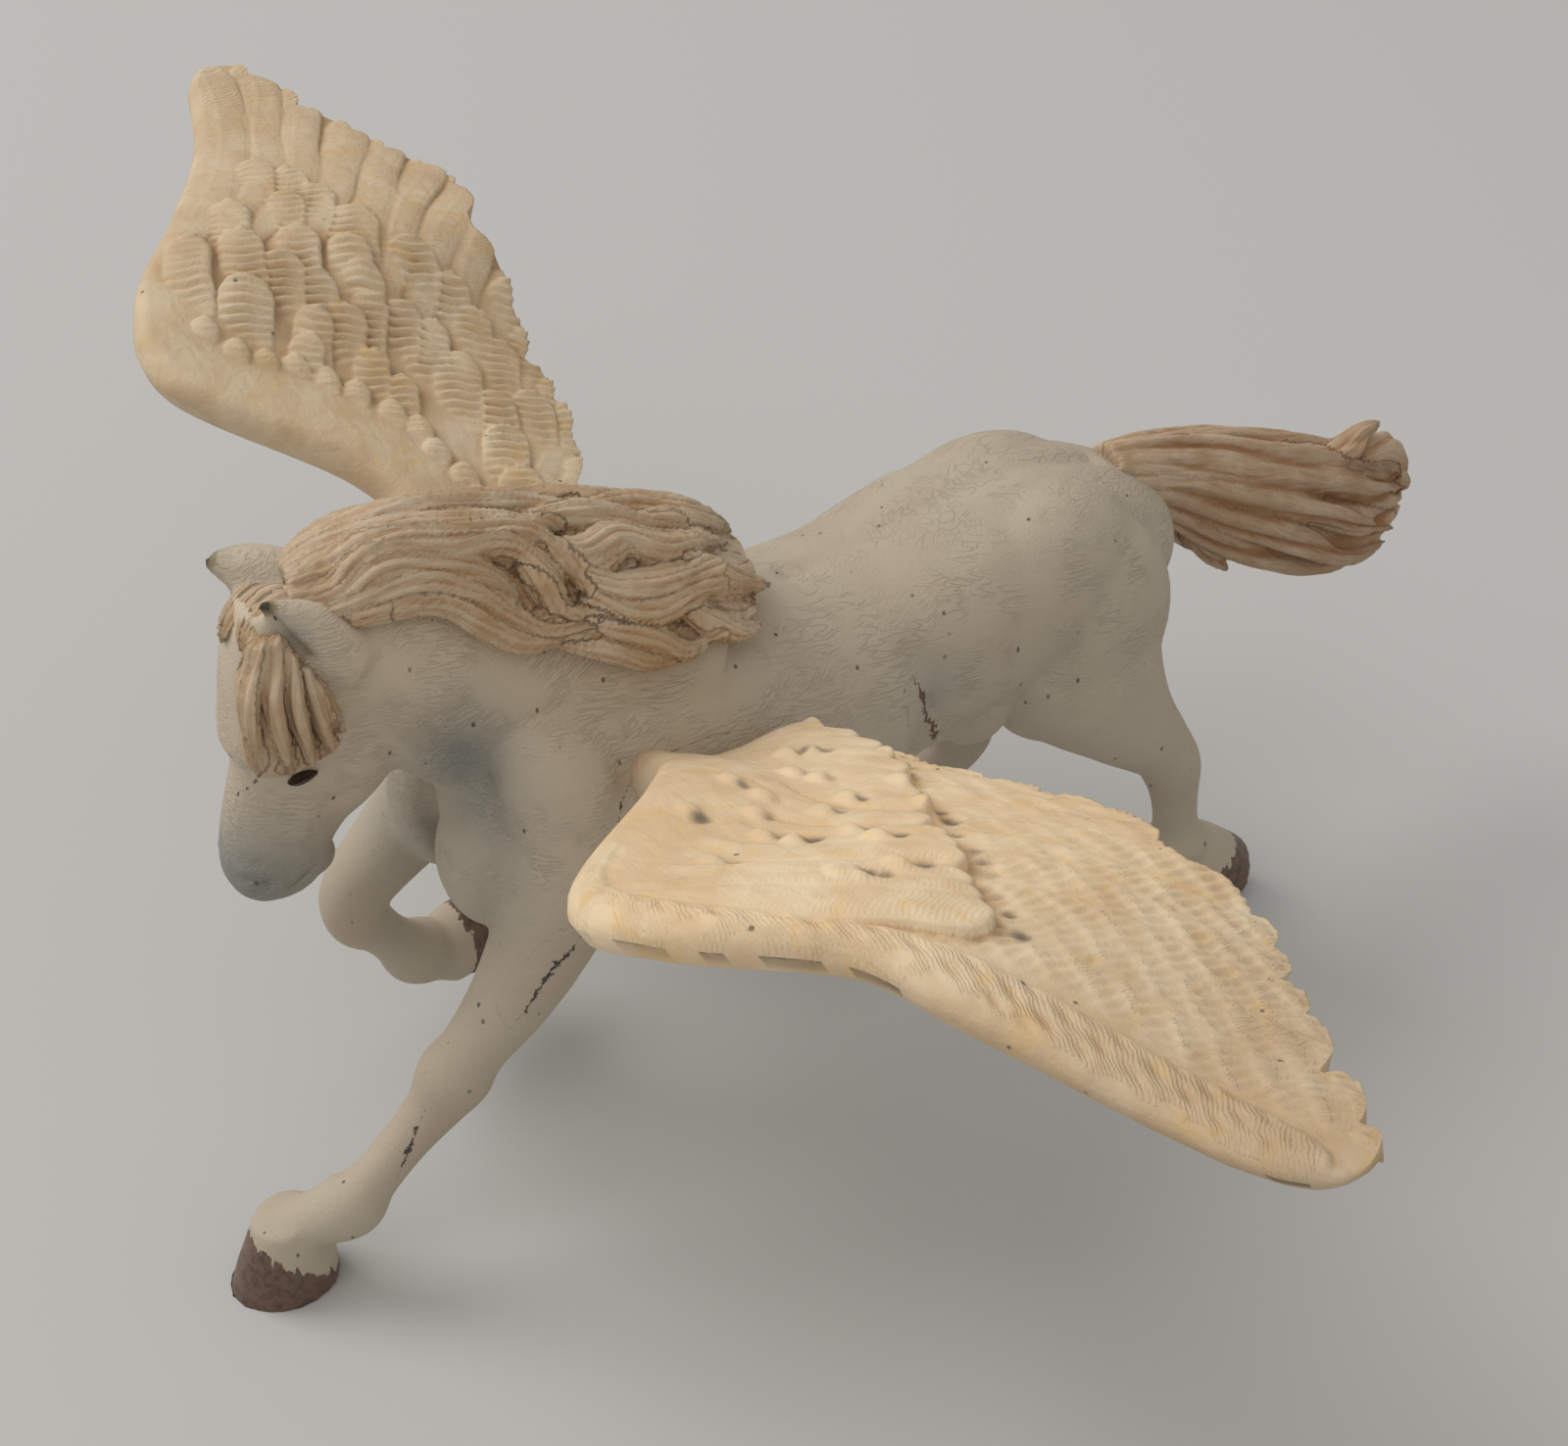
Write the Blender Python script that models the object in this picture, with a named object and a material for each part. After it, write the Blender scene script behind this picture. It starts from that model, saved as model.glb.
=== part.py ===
"""Pegasus figurine: a cantering winged horse, moulded in soft plastic.

The body, the two wings and the tail are separate mouldings that were glued together. Each wing has an
oval boss that plugs into the shoulder, and the tail has a round peg that plugs into the rump.
X points to the horse's head, Y to its left and Z up, and the three planted hooves stand on Z = 0.
Sizes are in metres.
"""

import math

import bpy
import numpy as np
from mathutils import Matrix, Vector

MM = 0.001

# Trunk
TRUNK_LENGTH = 95 * MM
TRUNK_WIDTH = 31 * MM
BACK_HEIGHT = 66 * MM
BARREL_DEPTH = 31 * MM
BREAST_X = 40 * MM

# Neck and head
NECK_BASE_DEPTH = 36 * MM
NECK_BASE_WIDTH = 25 * MM
POLL_DEPTH = 14 * MM
POLL_WIDTH = 12 * MM
POLL_FORWARD = 11 * MM
POLL_RISE = 14.5 * MM
HEAD_LENGTH = 36 * MM
HEAD_DEPTH = 20 * MM
HEAD_WIDTH = 14 * MM
HEAD_TURN = 3 * MM
EAR_LENGTH = 9 * MM
EAR_WIDTH = 4.6 * MM

# Legs
ARM_DEPTH = 13 * MM
GASKIN_DEPTH = 14 * MM
KNEE_WIDTH = 7.8 * MM
HOCK_WIDTH = 8.4 * MM
CANNON_WIDTH = 5.6 * MM
FETLOCK_WIDTH = 7.8 * MM
PASTERN_WIDTH = 6.6 * MM
HOOF_LENGTH = 12.5 * MM
HOOF_WIDTH = 10 * MM
HOOF_HEIGHT = 7 * MM

# Mane
MANE_RISE = 5.2 * MM
LOCK_WIDTH = 4.2 * MM

# Wings
ARM_THICKNESS = 6.4 * MM
WING_TIP_THICKNESS = 2.6 * MM
BLADE_THICKNESS = 1.5 * MM
FEATHER_WIDTH = 7 * MM
FEATHER_THICKNESS = 3.4 * MM
COVERT_WIDTH = 6.2 * MM
COVERT_LENGTH = 9.5 * MM
COVERT_THICKNESS = 3 * MM
COVERT_RISE = 0.9 * MM
BOSS_LENGTH = 17 * MM
BOSS_HEIGHT = 8 * MM
BOSS_DEPTH = 8 * MM
BOSS_BITE = 3 * MM
BOSS_X = 15 * MM
BOSS_BELOW_BACK = 11 * MM
WING_SEAT_Y = 14 * MM

# Tail
TAIL_LENGTH = 50 * MM
TAIL_WIDTH = 13 * MM
TAIL_DEPTH = 19 * MM
TAIL_PEG_DIAMETER = 5 * MM
TAIL_PEG_LENGTH = 7 * MM
TAIL_PEG_BITE = 6 * MM

# Fits and mesh fineness
CLEARANCE = 0.3 * MM
SKIN_GAP = 0.45 * MM
BODY_GRAIN = 0.75 * MM
WING_GRAIN = 0.5 * MM
BODY_TRIANGLES = 4900
WING_TRIANGLES = 2350
TAIL_TRIANGLES = 1150


def curve_through(points, samples):
    """Return samples of a Catmull-Rom curve through rows of numbers."""
    rows = np.asarray(points, dtype=float)
    padded = np.vstack([2 * rows[0] - rows[1], rows, 2 * rows[-1] - rows[-2]])
    places = np.linspace(0.0, len(rows) - 1 - 1e-9, samples)
    return np.array([curve_at(padded, place) for place in places])


def curve_at(padded, place):
    """Return one point of the Catmull-Rom curve whose end rows are already padded."""
    last = len(padded) - 4
    index = min(max(int(math.floor(place)), 0), last)
    f = place - index
    a, b, c, d = padded[index:index + 4]
    return 0.5 * (2 * b + (c - a) * f + (2 * a - 5 * b + 4 * c - d) * f**2 + (3 * b - 3 * c + d - a) * f**3)


def make_object(name, vertices, faces):
    """Make a mesh object in the scene from points and faces."""
    mesh = bpy.data.meshes.new(name)
    mesh.from_pydata([tuple(map(float, point)) for point in vertices], [], faces)
    mesh.update()
    piece = bpy.data.objects.new(name, mesh)
    bpy.context.scene.collection.objects.link(piece)
    return piece


def stitch(name, rings):
    """Join equal rings of points into a closed skin with flat end caps."""
    count = len(rings[0])
    vertices = [point for ring in rings for point in ring]
    faces = []
    for row in range(len(rings) - 1):
        for column in range(count):
            following = (column + 1) % count
            faces.append((row * count + column, row * count + following,
                          (row + 1) * count + following, (row + 1) * count + column))
    faces.append(tuple(reversed(range(count))))
    faces.append(tuple(range((len(rings) - 1) * count, len(rings) * count)))
    return make_object(name, vertices, faces)


def section(centre, up, side, half_up, half_side, squareness, sides):
    """Return a ring of points: an ellipse, or a squarer one where squareness is above 2."""
    ring = []
    for step in range(sides):
        angle = 2 * math.pi * step / sides
        c, s = math.cos(angle), math.sin(angle)
        u = math.copysign(abs(c) ** (2 / squareness), c) * half_up
        v = math.copysign(abs(s) ** (2 / squareness), s) * half_side
        ring.append(centre + u * up + v * side)
    return ring


def frame_along(line, index):
    """Return the two section axes of a line at one of its points."""
    before, after = line[max(index - 1, 0)], line[min(index + 1, len(line) - 1)]
    tangent = (after - before) / np.linalg.norm(after - before)
    side = np.array((0.0, 1.0, 0.0))
    if abs(tangent[1]) > 0.85:
        side = np.array((1.0, 0.0, 0.0))
    side = side - side.dot(tangent) * tangent
    side /= np.linalg.norm(side)
    return np.cross(side, tangent), side


def limb(name, stations, samples=24, sides=18, squareness=2.0):
    """Loft a round-sectioned limb through stations of x, y, z, half depth and half width."""
    rows = curve_through(stations, samples)
    line = rows[:, :3]
    rings = []
    for index, row in enumerate(rows):
        up, side = frame_along(line, index)
        rings.append(section(line[index], up, side, max(row[3], 0.1 * MM), max(row[4], 0.1 * MM),
                             squareness, sides))
    return stitch(name, rings)


def bulge(name, centre, radii, pitch=0.0):
    """Make an ellipsoid, such as a muscle, turned about the cross axis by pitch degrees."""
    bpy.ops.mesh.primitive_uv_sphere_add(segments=24, ring_count=16, radius=1.0)
    piece = bpy.context.active_object
    piece.name = name
    turn = Matrix.Rotation(math.radians(pitch), 4, "Y")
    piece.data.transform(Matrix.Translation(Vector(centre)) @ turn @ Matrix.Diagonal((*radii, 1.0)))
    return piece


def join(pieces, name):
    """Join mesh objects into the first one and name it."""
    bpy.ops.object.select_all(action="DESELECT")
    for piece in pieces:
        piece.select_set(True)
    bpy.context.view_layer.objects.active = pieces[0]
    bpy.ops.object.join()
    pieces[0].name = name
    pieces[0].data.name = name
    return pieces[0]


def apply_modifier(piece, kind, **settings):
    """Add one modifier with its settings and apply it."""
    modifier = piece.modifiers.new(kind.title(), kind)
    for key, value in settings.items():
        setattr(modifier, key, value)
    bpy.ops.object.select_all(action="DESELECT")
    piece.select_set(True)
    bpy.context.view_layer.objects.active = piece
    bpy.ops.object.modifier_apply(modifier=modifier.name)


def melt(piece, grain, smoothing):
    """Turn overlapping shells into one skin, as if the sculptor had blended the clay."""
    apply_modifier(piece, "REMESH", mode="VOXEL", voxel_size=grain)
    apply_modifier(piece, "SMOOTH", factor=0.5, iterations=smoothing)


def thin_out(piece, triangles):
    """Reduce a skin to about the given number of triangles."""
    apply_modifier(piece, "TRIANGULATE")
    ratio = min(1.0, triangles / len(piece.data.polygons))
    apply_modifier(piece, "DECIMATE", ratio=ratio)


def cut(piece, cutter):
    """Take the cutter's space away from the piece, and remove the cutter."""
    apply_modifier(piece, "BOOLEAN", operation="DIFFERENCE", solver="EXACT", object=cutter)
    bpy.data.objects.remove(cutter)


def fuse(piece, addition):
    """Add a closed solid to the piece, and remove the addition."""
    apply_modifier(piece, "BOOLEAN", operation="UNION", solver="EXACT", object=addition)
    bpy.data.objects.remove(addition)


def paint(piece, name, colour, roughness):
    """Give a piece its own painted plastic material."""
    material = bpy.data.materials.new(name)
    material.use_nodes = True
    shader = material.node_tree.nodes["Principled BSDF"]
    shader.inputs["Base Color"].default_value = (*colour, 1.0)
    shader.inputs["Roughness"].default_value = roughness
    shader.inputs["Metallic"].default_value = 0.0
    piece.data.materials.clear()
    piece.data.materials.append(material)
    for polygon in piece.data.polygons:
        polygon.use_smooth = True


# Trunk

def trunk_x(share):
    """Return the x of a place on the trunk, from 0 at the buttocks to 1 at the breast."""
    return BREAST_X - TRUNK_LENGTH * (1 - share)


BELLY_HEIGHT = BACK_HEIGHT - BARREL_DEPTH

# Share of the length, top over the back, underside over the belly, share of the width
TRUNK_PROFILE = (
    (0.00, -9.0, 14.0, 0.34),
    (0.04, -4.0, 11.0, 0.62),
    (0.12, 0.2, 9.0, 0.86),
    (0.22, 2.2, 8.0, 0.98),
    (0.33, 1.4, 6.0, 1.00),
    (0.43, -0.6, 3.0, 0.98),
    (0.55, -0.6, 0.5, 1.00),
    (0.67, 1.2, 0.0, 0.98),
    (0.78, 2.6, 0.5, 0.97),
    (0.88, 1.0, 2.0, 0.92),
    (0.955, -4.0, 5.5, 0.76),
    (1.00, -10.0, 10.0, 0.42),
)


def build_trunk():
    """Loft the barrel from the buttocks to the breast, with the big muscles on it."""
    stations = []
    for share, top, bottom, width in TRUNK_PROFILE:
        high = BACK_HEIGHT + top * MM
        low = BELLY_HEIGHT + bottom * MM
        stations.append((trunk_x(share), 0.0, (high + low) / 2, (high - low) / 2, width * TRUNK_WIDTH / 2))
    pieces = [limb("trunk", stations, samples=48, sides=32, squareness=2.08)]
    half = TRUNK_WIDTH / 2
    for side in (1, -1):
        pieces += [
            bulge("croup", (trunk_x(0.22), side * 0.38 * half, BACK_HEIGHT - 9 * MM),
                  (14 * MM, 0.56 * half, 11 * MM), 8),
            bulge("haunch", (trunk_x(0.17), side * 0.52 * half, BACK_HEIGHT - 17 * MM),
                  (12.5 * MM, 0.53 * half, 15 * MM), -14),
            bulge("shoulder", (trunk_x(0.87), side * 0.55 * half, BACK_HEIGHT - 15 * MM),
                  (9 * MM, 0.48 * half, 16 * MM), 20),
            bulge("breast", (trunk_x(0.965), side * 0.36 * half, BACK_HEIGHT - 18 * MM),
                  (5.5 * MM, 0.40 * half, 9 * MM), 0),
        ]
    return pieces


# Neck and head

WITHERS_HEIGHT = BACK_HEIGHT + 3 * MM
POLL = np.array((BREAST_X + POLL_FORWARD, -0.4 * HEAD_TURN, WITHERS_HEIGHT + POLL_RISE - POLL_DEPTH / 2))
NECK_BASE = np.array((trunk_x(0.735), 0.0, WITHERS_HEIGHT - 0.36 * NECK_BASE_DEPTH))

# Share of the way from base to poll, rise over the straight line, shares of depth and width blended
NECK_PROFILE = (
    (0.00, 0.0, 1.00, 1.00),
    (0.28, 0.0, 0.80, 0.74),
    (0.55, 0.8, 0.56, 0.52),
    (0.80, 1.6, 0.28, 0.22),
    (1.00, 0.0, 0.00, 0.00),
)


def neck_stations():
    """Return the neck's stations of x, y, z, half depth and half width from base to poll."""
    stations = []
    for share, rise, depth, width in NECK_PROFILE:
        centre = NECK_BASE + (POLL - NECK_BASE) * share
        centre[2] += rise * MM
        half_depth = (depth * NECK_BASE_DEPTH + (1 - depth) * POLL_DEPTH) / 2
        half_width = (width * NECK_BASE_WIDTH + (1 - width) * POLL_WIDTH) / 2
        stations.append((*centre, half_depth, half_width))
    return np.array(stations)


def on_neck(share, angle, lift):
    """Return a point over the neck: share 0 at the base to 1 at the poll, angle 0 on the crest to 90
    on the left side, and lift in metres over the skin. Shares below 0 run on over the withers."""
    stations = neck_stations()
    padded = np.vstack([2 * stations[0] - stations[1], stations, 2 * stations[-1] - stations[-2]])
    place = share * (len(stations) - 1)
    row = curve_at(padded, place)
    ahead = curve_at(padded, place + 0.05)[:3]
    behind = curve_at(padded, place - 0.05)[:3]
    up, side = frame_along(np.array((ahead, row[:3], behind)), 1)
    turned = math.radians(angle)
    out = math.cos(turned) * (row[3] + lift) * up + math.sin(turned) * (row[4] + lift) * side
    return row[:3] + out


# Share of the head's length down from the poll, forward of the poll, shares of depth and width
HEAD_PROFILE = (
    (-0.02, 2.0, 0.46, 0.66),
    (0.10, 1.5, 0.68, 0.86),
    (0.24, 0.8, 0.84, 0.98),
    (0.38, 0.0, 0.98, 1.00),
    (0.50, -0.3, 1.00, 0.94),
    (0.61, 1.0, 0.88, 0.80),
    (0.72, 3.4, 0.70, 0.66),
    (0.83, 5.2, 0.60, 0.64),
    (0.93, 5.6, 0.56, 0.66),
    (1.00, 5.4, 0.40, 0.50),
)


def head_point(share, forward, left):
    """Return a point of the head: share of its length down from the poll, and offsets in metres."""
    turn = HEAD_TURN * min(1.0, max(0.0, share + 0.3))
    top = POLL[2] + POLL_DEPTH / 2
    return np.array((POLL[0] + forward, left - turn, top - HEAD_LENGTH * share))


def build_head():
    """Loft the head, and add its cheeks, brows, nostrils, lips and ears."""
    stations = []
    for share, forward, depth, width in HEAD_PROFILE:
        centre = head_point(share, forward * MM, 0.0)
        stations.append((*centre, depth * HEAD_DEPTH / 2, width * HEAD_WIDTH / 2))
    pieces = [limb("head", stations, samples=30, sides=24, squareness=2.2)]
    for side in (1, -1):
        pieces += [
            bulge("cheek", head_point(0.46, -3 * MM, side * 0.22 * HEAD_WIDTH),
                  (0.30 * HEAD_DEPTH, 0.26 * HEAD_WIDTH, 0.19 * HEAD_LENGTH)),
            bulge("brow", head_point(0.40, 4.2 * MM, side * 0.36 * HEAD_WIDTH),
                  (0.14 * HEAD_DEPTH, 0.13 * HEAD_WIDTH, 0.07 * HEAD_LENGTH)),
            bulge("nostril", head_point(0.90, 8.4 * MM, side * 0.17 * HEAD_WIDTH),
                  (0.12 * HEAD_DEPTH, 0.13 * HEAD_WIDTH, 0.06 * HEAD_LENGTH)),
        ]
    pieces.append(bulge("chin", head_point(0.95, 2.4 * MM, 0.0),
                        (0.16 * HEAD_DEPTH, 0.2 * HEAD_WIDTH, 0.07 * HEAD_LENGTH)))
    for side in (1, -1):
        root = head_point(0.06, 1.5 * MM, side * 0.26 * HEAD_WIDTH)
        tip = root + np.array((3.4 * MM, side * 3.6 * MM, 0.7 * EAR_LENGTH))
        middle = (root + tip) / 2 + np.array((-0.6 * MM, side * 0.8 * MM, 0.0))
        pieces.append(limb("ear", (
            (*root, 0.42 * EAR_WIDTH, 0.46 * EAR_WIDTH),
            (*middle, 0.40 * EAR_WIDTH, 0.50 * EAR_WIDTH),
            (*tip, 0.12 * EAR_WIDTH, 0.14 * EAR_WIDTH),
        ), samples=12, sides=12))
    return pieces


# Legs

def build_leg(name, root, foot_height, stations):
    """Loft a leg from its root inside the trunk.

    Each station holds the share of the drop from root to foot, the forward and outward distance from
    the root in millimetres, and the half depth and half width.
    """
    side = math.copysign(1.0, root[1])
    drop = root[2] - foot_height
    rows = [(root[0] + forward * MM, root[1] + side * outward * MM, root[2] - share * drop, depth, width)
            for share, forward, outward, depth, width in stations]
    return limb(name, rows, samples=40, sides=18), rows[-1]


def build_hoof(name, coronet, heading, sole_drop):
    """Make a hoof that widens from the coronet to its sole, pointed along heading (x, y, z)."""
    toe = Vector(heading).normalized()
    across = Vector((0.0, 1.0, 0.0))
    across = (across - across.dot(toe) * toe).normalized()
    down = across.cross(toe)
    if down.z > 0:
        down.negate()
    rings = []
    for share, length, width, shift in ((-0.45, 0.60, 0.68, -0.10), (0.0, 0.76, 0.86, -0.06),
                                        (0.5, 0.90, 0.95, 0.02), (1.0, 1.0, 1.0, 0.09)):
        centre = Vector(coronet) + down * (share * sole_drop) + toe * (shift * HOOF_LENGTH)
        rings.append(section(np.array(centre), np.array(toe), np.array(across),
                             length * HOOF_LENGTH / 2, width * HOOF_WIDTH / 2, 2.0, 20))
    return stitch(name, rings)


def build_legs():
    """Make the two forelegs and the two hindlegs, each in its own phase of the canter."""
    half = TRUNK_WIDTH / 2
    knee, hock, cannon = KNEE_WIDTH / 2, HOCK_WIDTH / 2, CANNON_WIDTH / 2
    fetlock, pastern = FETLOCK_WIDTH / 2, PASTERN_WIDTH / 2
    arm, gaskin = ARM_DEPTH / 2, GASKIN_DEPTH / 2
    hoof = HOOF_LENGTH / 2
    coronet = HOOF_HEIGHT
    fore_root = np.array((trunk_x(0.88), 0.66 * half, BELLY_HEIGHT + 17 * MM))
    hind_root = np.array((trunk_x(0.18), 0.55 * half, BELLY_HEIGHT + 16 * MM))
    mirror = np.array((1.0, -1.0, 1.0))

    left_fore, left_fore_end = build_leg("left_fore", fore_root, coronet, (
        (0.00, 0.0, 0.0, 1.25 * arm, 0.90 * arm),
        (0.20, 4.5, 2.4, 0.98 * arm, 0.84 * arm),
        (0.38, 10.0, 3.0, 0.70 * arm, 0.70 * arm),
        (0.53, 15.5, 2.6, 1.02 * knee, 0.98 * knee),
        (0.62, 18.5, 2.4, 0.92 * knee, 0.88 * knee),
        (0.72, 22.5, 2.0, 1.04 * cannon, cannon),
        (0.83, 27.8, 1.6, 1.10 * cannon, cannon),
        (0.90, 31.5, 1.2, 1.08 * fetlock, fetlock),
        (0.96, 35.2, -1.4, 1.05 * pastern, 1.05 * pastern),
        (1.00, 37.6, -2.8, 0.80 * hoof, 1.25 * pastern),
    ))
    right_fore, right_fore_end = build_leg("right_fore", fore_root * mirror, 1.95 * coronet, (
        (0.00, 0.0, 0.0, 1.15 * arm, 0.85 * arm),
        (0.20, 5.8, 0.4, 0.95 * arm, 0.82 * arm),
        (0.34, 12.0, 0.6, 0.70 * arm, 0.72 * arm),
        (0.46, 16.4, 0.8, 1.04 * knee, 1.00 * knee),
        (0.58, 16.6, 1.4, 0.98 * knee, 0.94 * knee),
        (0.71, 13.8, 3.0, 1.04 * cannon, cannon),
        (0.83, 10.4, 4.6, 1.06 * cannon, cannon),
        (0.925, 7.2, 5.6, 1.06 * fetlock, fetlock),
        (0.975, 3.8, 6.2, 1.05 * pastern, 1.05 * pastern),
        (1.00, 0.8, 6.6, 0.74 * hoof, 1.25 * pastern),
    ))
    left_hind, left_hind_end = build_leg("left_hind", hind_root, coronet, (
        (0.00, 1.5, 0.0, 1.75 * gaskin, 1.00 * gaskin),
        (0.18, -2.2, 1.8, 1.45 * gaskin, 0.92 * gaskin),
        (0.35, -7.2, 3.4, 0.94 * gaskin, 0.68 * gaskin),
        (0.49, -12.4, 4.6, 1.02 * hock, 0.84 * hock),
        (0.58, -14.6, 4.8, 0.92 * hock, 0.82 * hock),
        (0.70, -16.0, 4.6, 1.10 * cannon, cannon),
        (0.82, -17.2, 4.2, 1.08 * cannon, cannon),
        (0.90, -18.0, 4.1, 1.06 * fetlock, fetlock),
        (0.96, -19.3, 4.2, 1.02 * pastern, pastern),
        (1.00, -20.6, 4.4, 0.76 * hoof, 1.2 * pastern),
    ))
    right_hind, right_hind_end = build_leg("right_hind", hind_root * mirror, coronet, (
        (0.00, 3.0, 0.0, 1.70 * gaskin, 1.00 * gaskin),
        (0.22, 8.6, 1.4, 1.42 * gaskin, 0.90 * gaskin),
        (0.43, 4.8, 1.6, 0.96 * gaskin, 0.68 * gaskin),
        (0.62, 0.2, 1.0, 1.05 * hock, 0.84 * hock),
        (0.70, 1.2, 1.0, 0.94 * hock, 0.82 * hock),
        (0.80, 6.0, 1.8, 1.10 * cannon, cannon),
        (0.90, 11.0, 2.6, 1.08 * cannon, cannon),
        (0.955, 14.0, 3.0, 1.06 * fetlock, fetlock),
        (0.985, 17.0, 3.2, 1.02 * pastern, pastern),
        (1.00, 19.6, 3.4, 0.76 * hoof, 1.2 * pastern),
    ))
    sunk = coronet + 0.5 * MM
    return [
        left_fore, right_fore, left_hind, right_hind,
        build_hoof("left_fore_hoof", left_fore_end[:3], (1.0, -0.25, -0.12), sunk),
        build_hoof("right_fore_hoof", right_fore_end[:3], (-0.35, -0.05, -1.0), 0.85 * coronet),
        build_hoof("left_hind_hoof", left_hind_end[:3], (0.62, 0.1, -0.78), sunk),
        build_hoof("right_hind_hoof", right_hind_end[:3], (1.0, 0.0, -0.05), sunk),
    ]


# Mane and forelock

def lock(name, points, width, thickness):
    """Make a tapered lock of hair along a line of points, thickest a third of the way along."""
    shares = np.linspace(0.0, 1.0, len(points))
    fullness = [0.65 + 1.05 * s - 1.5 * s**2 if s < 1 else 0.12 for s in shares]
    rows = [(*point, full * thickness / 2, full * width / 2) for point, full in zip(points, fullness)]
    return limb(name, rows, samples=14, sides=10)


# Share of the neck from withers to poll, fullness, and the angle of the hem on the left side
MANE_PROFILE = (
    (-0.06, 0.30, 40),
    (0.00, 0.62, 52),
    (0.08, 0.80, 58),
    (0.22, 0.90, 60),
    (0.40, 0.95, 66),
    (0.56, 1.00, 66),
    (0.70, 0.95, 46),
    (0.86, 0.80, 36),
    (1.00, 0.60, 30),
    (1.06, 0.30, 24),
)
MANE_SHARES, MANE_FULLNESS, MANE_HEM = zip(*MANE_PROFILE)
MANE_FAR_HEM = -42

# Start and sweep as shares of the neck, first and last angle, and wave in degrees, for each lock
MANE_LOCKS = (
    (1.06, 0.50, 8, 30, 5),
    (1.02, 0.42, 22, 52, 6),
    (0.98, 0.62, -6, 12, 6),
    (0.96, 0.55, -22, -10, 5),
    (0.84, 0.46, 16, 62, 7),
    (0.74, 0.44, 34, 76, 6),
    (0.62, 0.50, 6, 38, 8),
    (0.56, 0.36, 46, 74, 5),
    (0.50, 0.52, -14, 8, 8),
    (0.44, 0.44, 26, 60, 8),
    (0.34, 0.42, 8, 36, 8),
    (0.28, 0.32, 44, 68, 5),
    (0.24, 0.34, -10, 14, 7),
    (0.18, 0.28, 26, 54, 6),
)


def mane_lift(angle, fullness, hem):
    """Return how far the mane stands over the neck at an angle, thinning to its two hems."""
    edge = hem if angle > 0 else MANE_FAR_HEM
    share = min(1.0, abs(angle / edge))
    return MANE_RISE * fullness * (1 - 0.72 * share**2)


def build_mane():
    """Make the mane: a thick blanket over the crest, with long locks that sweep back over it."""
    rings = []
    for share, fullness, hem in MANE_PROFILE:
        outer = [on_neck(share, angle, mane_lift(angle, fullness, hem))
                 for angle in np.linspace(MANE_FAR_HEM, hem, 14)]
        inner = [on_neck(share, angle, -2 * MM) for angle in np.linspace(hem, MANE_FAR_HEM, 8)]
        rings.append(outer + inner)
    pieces = [stitch("mane_mass", rings)]
    for start, sweep, first, last, wave in MANE_LOCKS:
        points = []
        for f in np.linspace(0.0, 1.0, 7):
            share = start - sweep * f
            fullness, hem = (np.interp(share, MANE_SHARES, values) for values in (MANE_FULLNESS, MANE_HEM))
            angle = first + (last - first) * f**1.2 + wave * math.sin(5.0 * f)
            lift = mane_lift(min(angle, hem), fullness, hem) + 0.12 * LOCK_WIDTH
            points.append(on_neck(share, angle, lift))
        pieces.append(lock("mane_lock", points, 1.1 * LOCK_WIDTH, 1.1 * LOCK_WIDTH))
    return pieces


def build_forelock():
    """Make the forelock, which falls from between the ears over the left side of the face."""
    pieces = []
    for left, reach, width in ((0.12, 0.40, 1.1), (0.30, 0.46, 1.0), (0.46, 0.44, 0.8)):
        points = []
        for step in range(6):
            f = step / 5
            outward = (0.05 + left * f**0.8) * HEAD_WIDTH
            forward = (8.0 - 0.8 * f + 1.4 * math.sin(math.pi * f)) * MM - 0.24 * outward
            points.append(head_point(-0.04 + reach * f, forward, outward + 1.0 * MM))
        pieces.append(lock("forelock", points, 1.3 * width * LOCK_WIDTH, width * LOCK_WIDTH))
    return pieces


# Wings

BOSS_Z = BACK_HEIGHT - BOSS_BELOW_BACK

# Where the middle of the boss lies in the numbers below
EDGE_SEAT = np.array((15.0, 14.0, 55.0))

# Leading and trailing edges of each wing in millimetres, from the shoulder to the tip. The sculptor
# made the two by hand, so they differ a little. Y is counted outwards.
LEFT_EDGES = (
    ((24.0, 14.0, 57.5), (26.9, 23.8, 64.8), (33.8, 32.6, 71.9), (48.9, 46.1, 77.6),
     (47.7, 58.1, 82.7), (33.5, 73.3, 84.3), (23.1, 92.9, 80.9), (19.8, 107.5, 82.8)),
    ((6.0, 14.0, 54.0), (5.6, 22.6, 61.3), (-3.4, 38.5, 63.9), (-4.0, 51.8, 69.6),
     (-2.8, 65.6, 75.4), (-1.8, 77.6, 75.7), (5.3, 93.9, 79.0), (13.4, 108.2, 83.6)),
)
RIGHT_EDGES = (
    ((24.0, 14.0, 57.5), (28.0, 23.7, 66.5), (32.0, 32.5, 72.0), (46.5, 46.2, 80.1),
     (44.6, 58.4, 83.3), (34.0, 73.5, 83.5), (23.1, 92.3, 81.7), (17.4, 107.6, 84.3)),
    ((6.0, 14.0, 54.0), (8.0, 22.8, 62.5), (1.2, 38.1, 64.0), (0.1, 51.9, 68.2),
     (-2.7, 65.5, 76.0), (-4.4, 77.6, 76.7), (3.7, 93.9, 80.5), (11.7, 108.3, 85.0)),
)

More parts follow.
